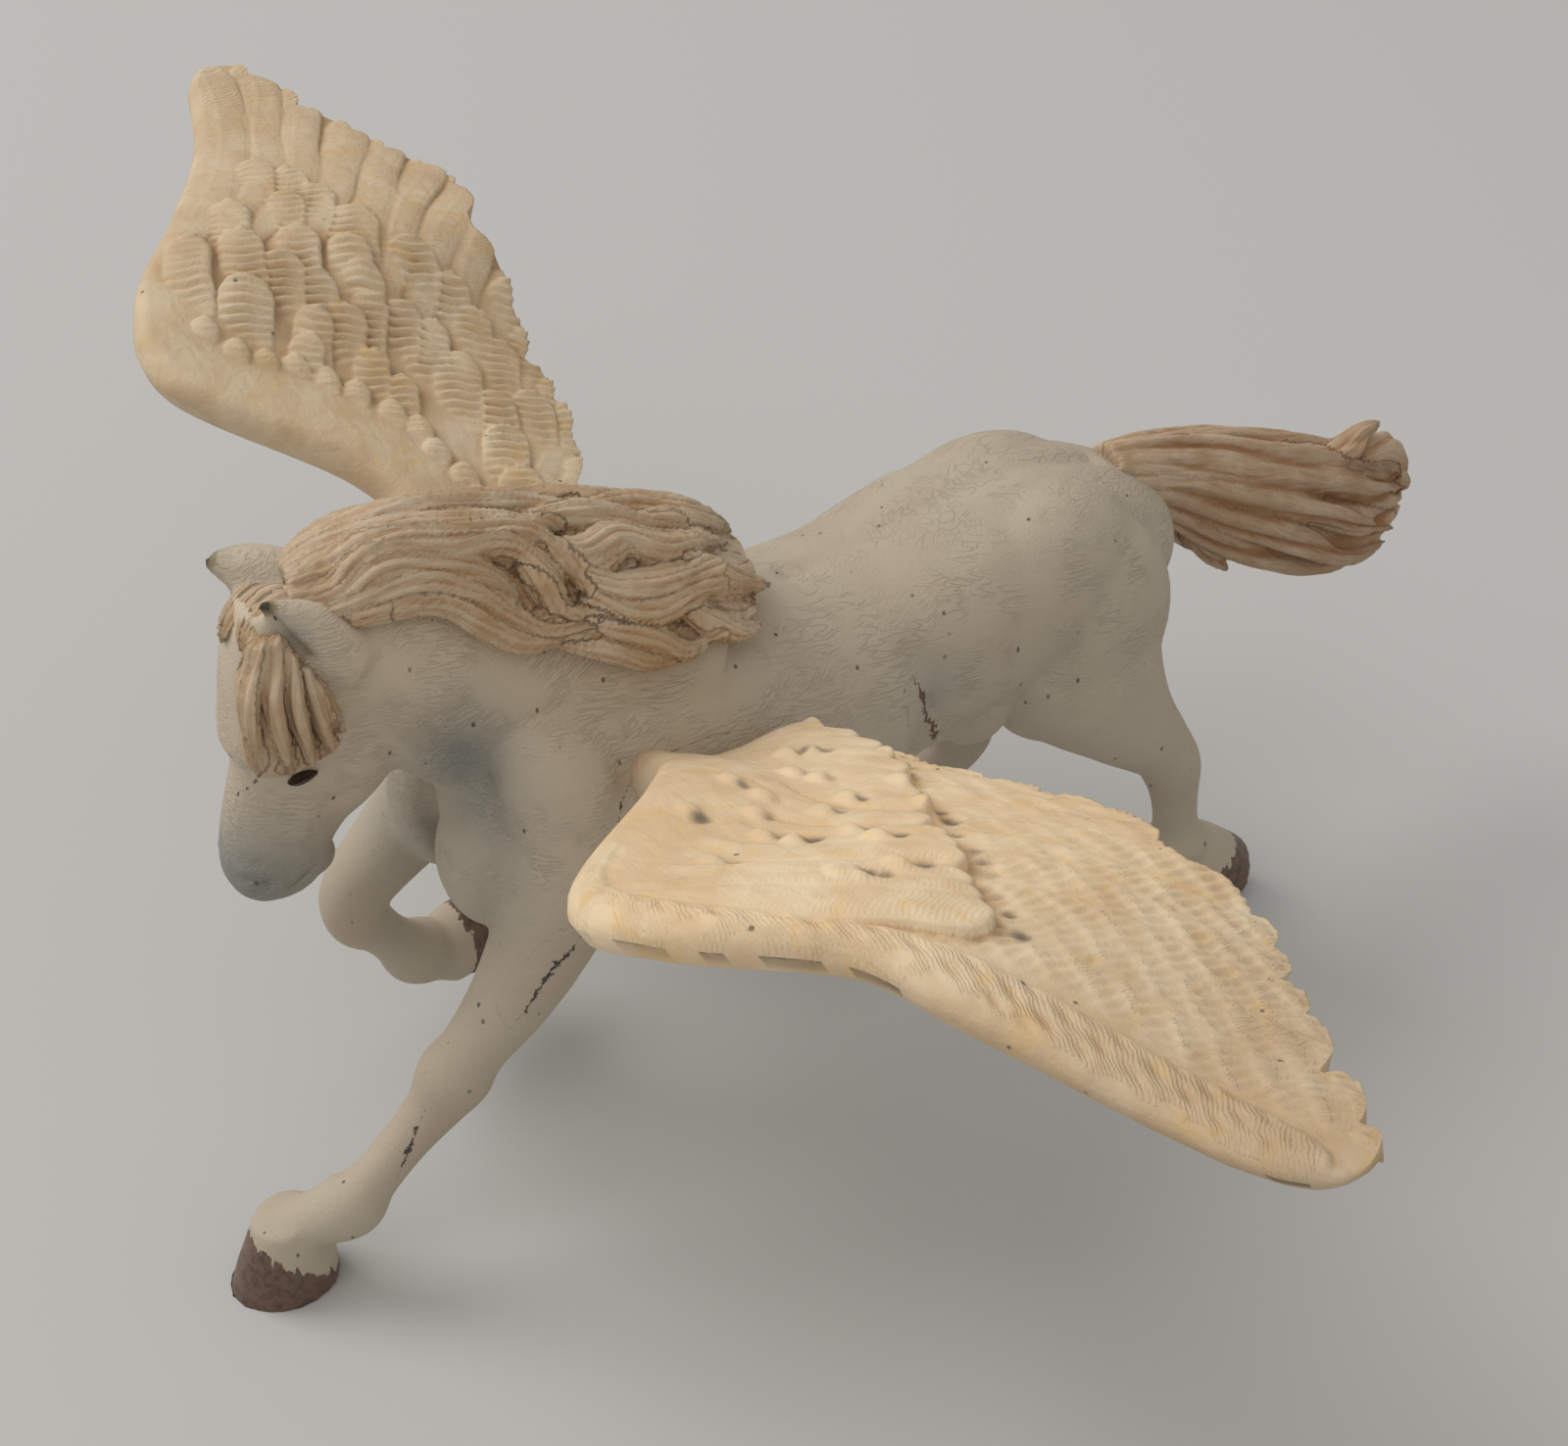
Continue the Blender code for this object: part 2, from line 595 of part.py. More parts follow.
# Flight feathers as places on the blade: root station, root chord, tip station, tip chord, width share
FLIGHT_FEATHERS = (
    (4.6, 0.16, 6.98, 0.38, 0.84),
    (4.3, 0.22, 6.92, 1.00, 0.86),
    (4.0, 0.28, 6.48, 1.03, 0.92),
    (3.8, 0.34, 5.98, 0.98, 0.98),
    (3.5, 0.40, 5.68, 0.98, 1.00),
    (3.2, 0.44, 5.38, 0.99, 1.00),
    (3.0, 0.48, 5.10, 1.01, 1.02),
    (2.8, 0.50, 4.66, 1.02, 1.08),
    (2.7, 0.50, 3.60, 1.00, 1.20),
    (2.3, 0.50, 3.10, 1.00, 1.16),
    (1.9, 0.50, 2.56, 0.99, 1.12),
    (1.5, 0.50, 2.10, 0.99, 1.06),
    (1.1, 0.50, 1.55, 0.99, 1.00),
)

# Rows of coverts: stations and chords of the line that the feather tips lie on, and their number
COVERT_ROWS = (
    (((5.35, 0.36), (5.00, 0.46), (4.50, 0.56), (3.90, 0.68), (3.30, 0.76), (2.50, 0.80), (1.30, 0.82)), 11),
    (((4.90, 0.26), (4.50, 0.34), (4.00, 0.44), (3.40, 0.53), (2.70, 0.58), (1.40, 0.62)), 9),
    (((4.40, 0.16), (4.00, 0.22), (3.50, 0.30), (2.90, 0.35), (2.20, 0.38), (1.40, 0.42)), 8),
)


class Blade:
    """The curved surface that one wing's feathers lie on."""

    CAMBER = 0.04
    STATIONS = 7

    def __init__(self, edges, side):
        self.side = side
        self.leading, self.trailing = (self.padded(edge) for edge in edges)

    @staticmethod
    def padded(edge):
        """Return an edge in metres with one more row before and after it."""
        rows = (np.array(edge) - EDGE_SEAT) * MM + (BOSS_X, WING_SEAT_Y, BOSS_Z)
        return np.vstack([2 * rows[0] - rows[1], rows, 2 * rows[-1] - rows[-2]])

    def point(self, station, chord):
        """Return the point at a station (0 root to 7 tip) and chord (0 leading to 1 trailing edge)."""
        station = min(max(station, 0.0), self.STATIONS - 1e-6)
        front, back = curve_at(self.leading, station), curve_at(self.trailing, station)
        point = front + (back - front) * chord
        point[2] += 4 * chord * (1 - chord) * self.CAMBER * np.linalg.norm(back - front)
        return point

    def normal(self, station, chord):
        """Return the unit normal that points out of the upper side."""
        step = 0.05
        along = self.point(station + step, chord) - self.point(station - step, chord)
        back = self.point(station, chord + step) - self.point(station, chord - step)
        normal = np.cross(along, back)
        return normal / np.linalg.norm(normal)

    def placed(self, point):
        """Mirror a point to this wing's side of the horse."""
        return np.array((point[0], self.side * point[1], point[2]))


def leaf(blade, name, line, width, thickness, rise):
    """Make one feather: a flat leaf along a line of station and chord places, its end raised by rise."""
    rows = curve_through(line, 12)
    rings = []
    for index, (station, chord) in enumerate(rows):
        share = index / (len(rows) - 1)
        normal = blade.normal(station, chord)
        here = blade.point(station, chord)
        ahead = blade.point(*rows[min(index + 1, len(rows) - 1)])
        behind = blade.point(*rows[max(index - 1, 0)])
        tangent = (ahead - behind) / np.linalg.norm(ahead - behind)
        across = np.cross(tangent, normal)
        round_end = math.sqrt(max(0.0, 1 - max(0.0, (share - 0.72) / 0.28) ** 2.4))
        half_width = max(width / 2 * min(1.0, 0.7 + share) * round_end, 0.25 * MM)
        centre = here + normal * (rise * share)
        half_up = max(thickness / 2 * (0.6 + 0.4 * round_end), 0.4 * MM)
        ring = section(centre, normal, across, half_up, half_width, 2.0, 10)
        rings.append([blade.placed(point) for point in ring])
    return stitch(name, rings)


def build_wing(name, edges, side):
    """Make one wing: a thick arm along the leading edge, a thin blade, and its rows of feathers."""
    blade = Blade(edges, side)
    arm_rings, blade_rings = [], []
    for station in np.linspace(0.0, blade.STATIONS, 48):
        share = station / blade.STATIONS
        thick = ARM_THICKNESS + (WING_TIP_THICKNESS - ARM_THICKNESS) * share**1.2
        chord_line = blade.point(station, 1.0) - blade.point(station, 0.0)
        chord_length = np.linalg.norm(chord_line)
        inset = min(0.5, 0.6 * thick / chord_length)
        normal = blade.normal(station, inset)
        centre = blade.point(station, inset) + normal * 0.1 * thick
        arm_rings.append(section(centre, normal, -chord_line / chord_length, 0.5 * thick,
                                 inset * chord_length, 2.0, 14))
        ring = []
        for chord in np.linspace(0.91, 0.06, 14):
            swell = 0.5 * thick * max(0.0, 1 - chord / 0.55) ** 1.4
            ring.append(blade.point(station, chord)
                        + blade.normal(station, chord) * (0.35 * BLADE_THICKNESS + swell))
        for chord in np.linspace(0.06, 0.91, 14):
            ring.append(blade.point(station, chord) - blade.normal(station, chord) * 0.65 * BLADE_THICKNESS)
        blade_rings.append(ring)
    pieces = [stitch(part_name, [[blade.placed(point) for point in ring] for ring in rings])
              for part_name, rings in (("arm", arm_rings), ("membrane", blade_rings))]

    for number, (root_at, root_chord, tip_at, tip_chord, width) in enumerate(FLIGHT_FEATHERS):
        middle = (0.5 * (root_at + tip_at), root_chord + 0.38 * (tip_chord - root_chord))
        lift = 0.35 * MM * (number % 2)
        line = ((root_at, root_chord), middle, (tip_at, tip_chord))
        pieces.append(leaf(blade, "flight_feather", line, width * FEATHER_WIDTH, FEATHER_THICKNESS, lift))
    for row, (line, count) in enumerate(COVERT_ROWS):
        for tip_at, tip_chord in curve_through(line, count):
            chord_length = np.linalg.norm(blade.point(tip_at, 1.0) - blade.point(tip_at, 0.0))
            back = 0.62 * COVERT_LENGTH / chord_length
            root = (tip_at - 0.52, tip_chord - back)
            tip = (tip_at, tip_chord)
            middle = ((root[0] + tip[0]) / 2, (root[1] + tip[1]) / 2)
            rise = COVERT_RISE * (1 + 0.25 * row)
            pieces.append(leaf(blade, "covert", (root, middle, tip), COVERT_WIDTH,
                               COVERT_THICKNESS, rise))
    if side < 0:
        for piece in pieces:
            piece.data.flip_normals()
    pieces.append(bulge("root", (BOSS_X, side * (WING_SEAT_Y + 2 * MM), BOSS_Z + 0.5 * MM),
                        (0.58 * BOSS_LENGTH, BOSS_DEPTH, 0.64 * BOSS_HEIGHT)))
    wing = join(pieces, name)
    melt(wing, WING_GRAIN, 2)
    thin_out(wing, WING_TRIANGLES)
    return wing


def oval_prism(name, centre, length, height, start_y, end_y):
    """Make an oval bar along Y, such as a wing's boss or the socket that it fits."""
    rings = [section(np.array((centre[0], y, centre[1])), np.array((0.0, 0.0, 1.0)),
                     np.array((1.0, 0.0, 0.0)), height / 2, length / 2, 2.0, 32)
             for y in (start_y, end_y)]
    prism = stitch(name, rings)
    if end_y < start_y:
        prism.data.flip_normals()
    return prism


# Tail

TAIL_ROOT = np.array((trunk_x(0.075), 0.0, BACK_HEIGHT - 5 * MM))

# Share of the tail's length, rise over the root, shares of depth and width
TAIL_PROFILE = (
    (0.00, 1.0, 0.48, 0.56),
    (0.13, -1.0, 0.54, 0.62),
    (0.33, -6.5, 0.80, 0.80),
    (0.53, -11.3, 0.90, 0.95),
    (0.70, -15.1, 0.95, 1.00),
    (0.84, -17.8, 0.86, 0.94),
    (0.94, -19.1, 0.66, 0.78),
    (1.00, -19.5, 0.30, 0.42),
)


def tail_point(share, angle, lift):
    """Return a point over the tail's core: share of its length, angle 0 on top to 90 on the left."""
    rows = [(*(TAIL_ROOT + np.array((-s * TAIL_LENGTH, 0.0, rise * MM))), depth * TAIL_DEPTH / 2,
             width * TAIL_WIDTH / 2) for s, rise, depth, width in TAIL_PROFILE]
    stations = np.array(rows)
    padded = np.vstack([2 * stations[0] - stations[1], stations, 2 * stations[-1] - stations[-2]])
    shares = [row[0] for row in TAIL_PROFILE]
    place = float(np.interp(share, shares, range(len(shares))))
    row = curve_at(padded, place)
    turned = math.radians(angle)
    over = share - 1.0 if share > 1.0 else 0.0
    out = np.array((-over * TAIL_LENGTH, math.sin(turned) * (row[4] + lift), math.cos(turned) * (row[3] + lift)))
    return row[:3] + out


def build_tail():
    """Make the tail: a core that swells to the end, long locks along it, and tufts that curl off it."""
    core = [(*tail_point(row[0], 0, -row[2] * TAIL_DEPTH / 2), 0.86 * row[2] * TAIL_DEPTH / 2,
             0.86 * row[3] * TAIL_WIDTH / 2) for row in TAIL_PROFILE]
    pieces = [limb("tail_core", core, samples=30, sides=18)]
    strands = 12
    for strand in range(strands):
        angle = 360 * strand / strands
        end = 0.90 + 0.12 * math.sin(2.1 * strand)
        points = []
        for step in range(8):
            f = step / 7
            turn = angle + 26 * f + 9 * math.sin(5 * f + strand)
            points.append(tail_point(0.02 + end * f, turn, -0.25 * LOCK_WIDTH * (1 - f)))
        pieces.append(lock("tail_lock", points, LOCK_WIDTH, LOCK_WIDTH))
    curl = [tail_point(0.80, 10, -1.5 * MM), tail_point(0.90, 5, 0.5 * MM), tail_point(0.95, 0, 4.0 * MM),
            tail_point(0.93, 0, 7.5 * MM)]
    pieces.append(lock("tail_curl", curl, LOCK_WIDTH, LOCK_WIDTH))
    tuft = [tail_point(0.52, 160, -1.0 * MM), tail_point(0.64, 165, 0.5 * MM), tail_point(0.70, 170, 2.5 * MM)]
    pieces.append(lock("tail_tuft", tuft, LOCK_WIDTH, LOCK_WIDTH))
    return join(pieces, "tail")


def round_bar(name, start, end, diameter):
    """Make a round bar between two points, such as the tail's peg or its socket."""
    line = np.array((start, end))
    up, side = frame_along(line, 0)
    rings = [section(point, up, side, diameter / 2, diameter / 2, 2.0, 24) for point in line]
    return stitch(name, rings)


# Assembly

def build_body():
    """Melt the trunk, neck, head, legs and mane into one skin."""
    neck = limb("neck", neck_stations(), samples=30, sides=24, squareness=2.1)
    pieces = build_trunk() + [neck] + build_head() + build_legs() + build_mane() + build_forelock()
    body = join(pieces, "body")
    melt(body, BODY_GRAIN, 4)
    thin_out(body, BODY_TRIANGLES)
    return body


def skin_cutter(body):
    """Return the space that the wings and the tail keep clear of: the body grown by the skin gap."""
    cutter = body.copy()
    cutter.data = body.data.copy()
    bpy.context.scene.collection.objects.link(cutter)
    apply_modifier(cutter, "DISPLACE", strength=SKIN_GAP, mid_level=0.0, direction="NORMAL")
    apply_modifier(cutter, "REMESH", mode="VOXEL", voxel_size=BODY_GRAIN)
    thin_out(cutter, 2 * BODY_TRIANGLES)
    cutter.name = "skin_cutter"
    return cutter


def copy_of(piece):
    """Return a separate copy of an object."""
    twin = piece.copy()
    twin.data = piece.data.copy()
    bpy.context.scene.collection.objects.link(twin)
    return twin


def stand_on_floor(pieces):
    """Move the pieces so that the origin is under the middle of the whole figurine."""
    corners = np.array([vertex.co for piece in pieces for vertex in piece.data.vertices])
    low, high = corners.min(axis=0), corners.max(axis=0)
    shift = Vector((-(low[0] + high[0]) / 2, -(low[1] + high[1]) / 2, -low[2]))
    for piece in pieces:
        piece.data.transform(Matrix.Translation(shift))
    return shift


def main():
    """Build the figurine."""
    for old in list(bpy.data.objects):
        bpy.data.objects.remove(old)
    body = build_body()
    bpy.ops.mesh.primitive_cube_add(size=1.0)
    floor = bpy.context.active_object
    floor.data.transform(Matrix.Translation((0.0, 0.0, -0.5)))
    cut(body, floor)
    cutter = skin_cutter(body)

    wings = []
    for name, edges, side in (("left_wing", LEFT_EDGES, 1), ("right_wing", RIGHT_EDGES, -1)):
        wing = build_wing(name, edges, side)
        cut(wing, copy_of(cutter))
        boss = oval_prism("boss", (BOSS_X, BOSS_Z), BOSS_LENGTH, BOSS_HEIGHT,
                          side * (WING_SEAT_Y - BOSS_DEPTH), side * (WING_SEAT_Y + BOSS_BITE))
        fuse(wing, boss)
        socket = oval_prism("socket", (BOSS_X, BOSS_Z), BOSS_LENGTH + 2 * CLEARANCE,
                            BOSS_HEIGHT + 2 * CLEARANCE, side * (WING_SEAT_Y - BOSS_DEPTH - CLEARANCE),
                            side * TRUNK_WIDTH)
        cut(body, socket)
        wings.append(wing)

    tail = build_tail()
    melt(tail, WING_GRAIN, 2)
    thin_out(tail, TAIL_TRIANGLES)
    cut(tail, cutter)
    back = np.array((-1.0, 0.0, 0.0))
    peg_end = TAIL_ROOT - back * TAIL_PEG_LENGTH
    fuse(tail, round_bar("peg", peg_end, TAIL_ROOT + back * TAIL_PEG_BITE, TAIL_PEG_DIAMETER))
    cut(body, round_bar("socket", peg_end - back * CLEARANCE, TAIL_ROOT + back * 2 * TAIL_PEG_BITE,
                        TAIL_PEG_DIAMETER + 2 * CLEARANCE))

    paint(body, "body_paint", (0.60, 0.58, 0.55), 0.62)
    for wing in wings:
        paint(wing, wing.name + "_paint", (0.72, 0.64, 0.53), 0.62)
    paint(tail, "tail_paint", (0.70, 0.60, 0.50), 0.58)
    return stand_on_floor([body, *wings, tail])


ORIGIN_SHIFT = main()
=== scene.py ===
"""Pegasus figurine in painted soft plastic: skin, eyes, hair, wings and tail, on the fixed frame."""

import logging
import math
from dataclasses import dataclass, field
from enum import Enum

import bpy
import numpy as np
from mathutils import Matrix, Vector


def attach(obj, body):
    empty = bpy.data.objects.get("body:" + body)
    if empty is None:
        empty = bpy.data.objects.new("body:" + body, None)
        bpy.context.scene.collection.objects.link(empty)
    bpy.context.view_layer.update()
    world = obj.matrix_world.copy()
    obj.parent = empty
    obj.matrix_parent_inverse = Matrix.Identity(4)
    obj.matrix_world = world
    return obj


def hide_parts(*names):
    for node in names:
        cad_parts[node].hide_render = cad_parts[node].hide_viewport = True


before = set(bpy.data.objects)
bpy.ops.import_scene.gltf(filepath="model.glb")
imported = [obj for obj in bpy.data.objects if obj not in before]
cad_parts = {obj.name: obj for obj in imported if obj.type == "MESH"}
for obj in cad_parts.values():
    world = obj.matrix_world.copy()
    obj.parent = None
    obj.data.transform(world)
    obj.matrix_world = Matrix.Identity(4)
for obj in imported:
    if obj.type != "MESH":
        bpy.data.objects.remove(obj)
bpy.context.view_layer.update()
LOG = logging.getLogger("figurine")

MM = 0.001
# The sculptor's numbers are millimetres about the horse's middle, and this moves them to the frame
SCULPT_SHIFT = np.array((13.37, 0.09, 0.0))


class Slot(Enum):
    """The record's material slots."""

    BODY = "body_paint"
    LEFT_WING = "left_wing_paint"
    RIGHT_WING = "right_wing_paint"
    TAIL = "tail_paint"


class Node(Enum):
    """The fixed frame's nodes."""

    BODY = "body"
    LEFT_WING = "left_wing"
    RIGHT_WING = "right_wing"
    TAIL = "tail"


# Curves and shells


def spline_at(padded: np.ndarray, places: np.ndarray) -> np.ndarray:
    """Read a Catmull-Rom curve at places.

    Args:
        padded: Rows of the curve, with one more row before and after it.
        places: Places counted in rows, 0 at the first true row.

    Returns:
        One row of numbers for each place.
    """
    places = np.asarray(places, dtype=float)
    index = np.clip(np.floor(places).astype(int), 0, len(padded) - 4)
    f = (places - index)[..., None]
    a, b, c, d = (padded[index + step] for step in range(4))
    return 0.5 * (2 * b + (c - a) * f + (2 * a - 5 * b + 4 * c - d) * f**2 + (3 * b - 3 * c + d - a) * f**3)


def pad(rows: object) -> np.ndarray:
    """Return rows with one more row before and after, carried on straight."""
    rows = np.asarray(rows, dtype=float)
    return np.vstack([2 * rows[0] - rows[1], rows, 2 * rows[-1] - rows[-2]])


def smooth_curve(rows: object, samples: int) -> np.ndarray:
    """Return samples of a smooth curve through rows."""
    return spline_at(pad(rows), np.linspace(0, len(rows) - 1, samples))


def section_axes(line: np.ndarray) -> tuple[np.ndarray, np.ndarray]:
    """Return the up and side axes of the sections along a line.

    Args:
        line: Points of the line.

    Returns:
        The up axes and the side axes, one row for each point.
    """
    tangent = np.gradient(line, axis=0)
    tangent /= np.linalg.norm(tangent, axis=1)[:, None]
    side = np.tile((0.0, 1.0, 0.0), (len(line), 1))
    side[np.abs(tangent[:, 1]) > 0.85] = (1.0, 0.0, 0.0)
    side -= (side * tangent).sum(axis=1)[:, None] * tangent
    side /= np.linalg.norm(side, axis=1)[:, None]
    return np.cross(side, tangent), side


def new_object(name: str, vertices: np.ndarray, faces: list) -> bpy.types.Object:
    """Make a mesh object in the scene from points and faces.

    Args:
        name: The object's name.
        vertices: Its points.
        faces: Its faces, as rows of point numbers.

    Returns:
        The new object.
    """
    mesh = bpy.data.meshes.new(name)
    mesh.from_pydata(np.asarray(vertices, dtype=float).tolist(), [], faces)
    mesh.update()
    piece = bpy.data.objects.new(name, mesh)
    bpy.context.scene.collection.objects.link(piece)
    return piece


def shell(name: str, rings: np.ndarray) -> bpy.types.Object:
    """Join equal rings of points into a closed skin.

    Args:
        name: The object's name.
        rings: Rings of points, as an array of rings by points by 3.

    Returns:
        The new object.
    """
    rows, count = rings.shape[:2]
    number = np.arange(rows * count).reshape(rows, count)
    following = np.roll(number, -1, axis=1)
    corners = (number[:-1], following[:-1], following[1:], number[1:])
    faces = np.stack(corners, axis=-1).reshape(-1, 4).tolist()
    faces.append(number[0, ::-1].tolist())
    faces.append(number[-1].tolist())
    return new_object(name, rings.reshape(-1, 3), faces)


def loft(name: str, stations: object, samples: int = 24, sides: int = 18,
         squareness: float = 2.0) -> bpy.types.Object:
    """Loft a round-sectioned form through stations.

    Args:
        name: The object's name.
        stations: Rows of x, y, z, half depth and half width.
        samples: How many rings are made.
        sides: How many points a ring has.
        squareness: 2 for an ellipse, more for a squarer ring.

    Returns:
        The new object.
    """
    rows = smooth_curve(stations, samples)
    up, side = section_axes(rows[:, :3])
    angle = np.linspace(0, 2 * math.pi, sides, endpoint=False)
    across = np.sign(np.sin(angle)) * np.abs(np.sin(angle)) ** (2 / squareness)
    along = np.sign(np.cos(angle)) * np.abs(np.cos(angle)) ** (2 / squareness)
    half = np.maximum(rows[:, 3:5], 0.1)
    rings = (rows[:, None, :3] + along[None, :, None] * (half[:, :1] * up)[:, None]
             + across[None, :, None] * (half[:, 1:] * side)[:, None])
    return shell(name, rings)


def select_only(piece: bpy.types.Object) -> None:
    """Select one object and make it active."""
    bpy.ops.object.select_all(action="DESELECT")
    piece.select_set(True)
    bpy.context.view_layer.objects.active = piece


def ball(name: str, centre: object, radii: object, pitch: float = 0.0) -> bpy.types.Object:
    """Add a rounded lump of clay.

    Args:
        name: The object's name.
        centre: Its middle.
        radii: Its three half lengths.
        pitch: Its turn about the cross axis in degrees.

    Returns:
        The new object.
    """
    bpy.ops.object.select_all(action="DESELECT")
    bpy.ops.mesh.primitive_uv_sphere_add(segments=32, ring_count=20, radius=1.0, location=tuple(centre))
    piece = bpy.context.active_object
    piece.name = name
    piece.rotation_euler = (0.0, math.radians(pitch), 0.0)
    piece.scale = tuple(radii)
    bpy.ops.object.transform_apply(location=True, rotation=True, scale=True)
    return piece


def apply_modifier(piece: bpy.types.Object, kind: str, **settings: object) -> None:
    """Add one modifier with its settings and apply it.

    Args:
        piece: The object that gets it.
        kind: The modifier's type.
        settings: Its settings by name.
    """
    modifier = piece.modifiers.new(kind.title(), kind)
    for key, value in settings.items():
        setattr(modifier, key, value)
    select_only(piece)
    bpy.ops.object.modifier_apply(modifier=modifier.name)


def merge_clay(name: str, parts: list[bpy.types.Object], grain: float, smoothing: int) -> bpy.types.Object:
    """Join overlapping shells and melt them into one skin.

    Args:
        name: The name of the result.
        parts: The shells.
        grain: The size of its faces.
        smoothing: How many times it is smoothed.

    Returns:
        The one object.
    """
    bpy.ops.object.select_all(action="DESELECT")
    for part in parts:
        part.select_set(True)
    bpy.context.view_layer.objects.active = parts[0]
    bpy.ops.object.join()
    piece = parts[0]
    piece.name = name
    piece.data.name = name
    apply_modifier(piece, "REMESH", mode="VOXEL", voxel_size=grain)
    if smoothing:
        apply_modifier(piece, "SMOOTH", factor=0.5, iterations=smoothing)
    return piece


def read_points(piece: bpy.types.Object) -> np.ndarray:
    """Return a mesh's points as an array."""
    flat = np.empty(3 * len(piece.data.vertices))
    piece.data.vertices.foreach_get("co", flat)
    return flat.reshape(-1, 3)


def read_normals(piece: bpy.types.Object) -> np.ndarray:
    """Return the normals at a mesh's points as an array."""
    flat = np.empty(3 * len(piece.data.vertices))
    piece.data.vertices.foreach_get("normal", flat)
    return flat.reshape(-1, 3)


def write_points(piece: bpy.types.Object, points: np.ndarray) -> None:
    """Move a mesh's points to new places."""
    piece.data.vertices.foreach_set("co", points.ravel())
    piece.data.update()


def write_values(piece: bpy.types.Object, name: str, values: np.ndarray) -> None:
    """Store one number, or three, for each point under a name that a material reads.

    Args:
        piece: The object.
        name: The attribute's name.
        values: One row for each point.
    """
    kind, key = ("FLOAT", "value") if values.ndim == 1 else ("FLOAT_VECTOR", "vector")
    attribute = piece.data.attributes.new(name, kind, "POINT")
    attribute.data.foreach_set(key, np.ascontiguousarray(values, dtype=np.float32).ravel())


def nearest_on_line(points: np.ndarray, line: np.ndarray) -> tuple[np.ndarray, np.ndarray, np.ndarray]:
    """Find the nearest place on a line of points.

    Args:
        points: The points to measure from.
        line: The line's points.

    Returns:
        The distance, the run along the line, and the offset from the line, for each point.
    """
    best = np.full(len(points), np.inf)
    run = np.zeros(len(points))
    offset = np.zeros_like(points)
    start = 0.0
    for a, b in zip(line[:-1], line[1:]):
        step = b - a
        length = float(np.linalg.norm(step))
        share = np.clip((points - a) @ step / max(length**2, 1e-9), 0.0, 1.0)
        away = points - a - share[:, None] * step
        distance = np.linalg.norm(away, axis=1)
        closer = distance < best
        best[closer] = distance[closer]
        run[closer] = start + share[closer] * length
        offset[closer] = away[closer]
        start += length
    return best, run, offset


def points_near(points: np.ndarray, line: np.ndarray, reach: float) -> np.ndarray:
    """Return the numbers of the points that lie within reach of a line's box."""
    inside = (points > line.min(axis=0) - reach) & (points < line.max(axis=0) + reach)
    return np.flatnonzero(inside.all(axis=1))


def line_length(line: np.ndarray) -> float:
    """Return the length of a line of points."""
    return float(np.linalg.norm(np.diff(line, axis=0), axis=1).sum())


def soft_step(low: float, high: float, values: np.ndarray) -> np.ndarray:
    """Return 0 below low, 1 above high and a smooth rise between them."""
    f = np.clip((values - low) / (high - low), 0.0, 1.0)
    return f * f * (3 - 2 * f)


def fade(points: np.ndarray, centre: object, radii: object) -> np.ndarray:
    """Return a soft spot: 1 at the centre, falling to 0 round it."""
    return np.exp(-(((points - np.asarray(centre)) / np.asarray(radii)) ** 2).sum(axis=1))


def place_in_frame(piece: bpy.types.Object, node: Node, finish: "Finish") -> None:
    """Finish a piece: bring it to metres in the frame, smooth its shading and hand it over.

    Args:
        piece: The finished object, in millimetres.
        node: The fixed node that it stands for.
        finish: Its finish.
    """
    piece.data.transform(Matrix.Scale(MM, 4) @ Matrix.Translation(Vector(SCULPT_SHIFT)))
    select_only(piece)
    bpy.ops.object.shade_smooth()
    piece.data.materials.clear()
    piece.data.materials.append(finish.material())
    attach(piece, "root")
    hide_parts(node.value)
    LOG.info("%s: %d faces", piece.name, len(piece.data.polygons))


# Shader nodes


class Wire:
    """A socket of a material, with arithmetic that adds Math nodes."""

    def __init__(self, sheet: "Sheet", socket: bpy.types.NodeSocket) -> None:
        """Wrap a socket of a sheet's node tree."""
        self.sheet = sheet
        self.socket = socket

    def _math(self, operation: str, *values: object) -> "Wire":
        """Add one Math node over values."""
        return self.sheet.node("ShaderNodeMath", {"operation": operation}, dict(enumerate(values)))

    def __add__(self, other: object) -> "Wire":
        """Add."""
        return self._math("ADD", self, other)

    def __radd__(self, other: object) -> "Wire":
        """Add to a plain number."""
        return self._math("ADD", other, self)

    def __sub__(self, other: object) -> "Wire":
        """Subtract."""
        return self._math("SUBTRACT", self, other)

    def __rsub__(self, other: object) -> "Wire":
        """Subtract from a plain number."""
        return self._math("SUBTRACT", other, self)

    def __mul__(self, other: object) -> "Wire":
        """Multiply."""
        return self._math("MULTIPLY", self, other)

    def sine(self) -> "Wire":
        """Return the sine."""
        return self._math("SINE", self)

    def size(self) -> "Wire":
        """Return the absolute value."""
        return self._math("ABSOLUTE", self)

    def step(self, low: float, high: float) -> "Wire":
        """Return 0 below low, 1 above high and a smooth rise between them."""
        return self.sheet.node("ShaderNodeMapRange", {"interpolation_type": "SMOOTHSTEP"},
                               {"Value": self, "From Min": low, "From Max": high})


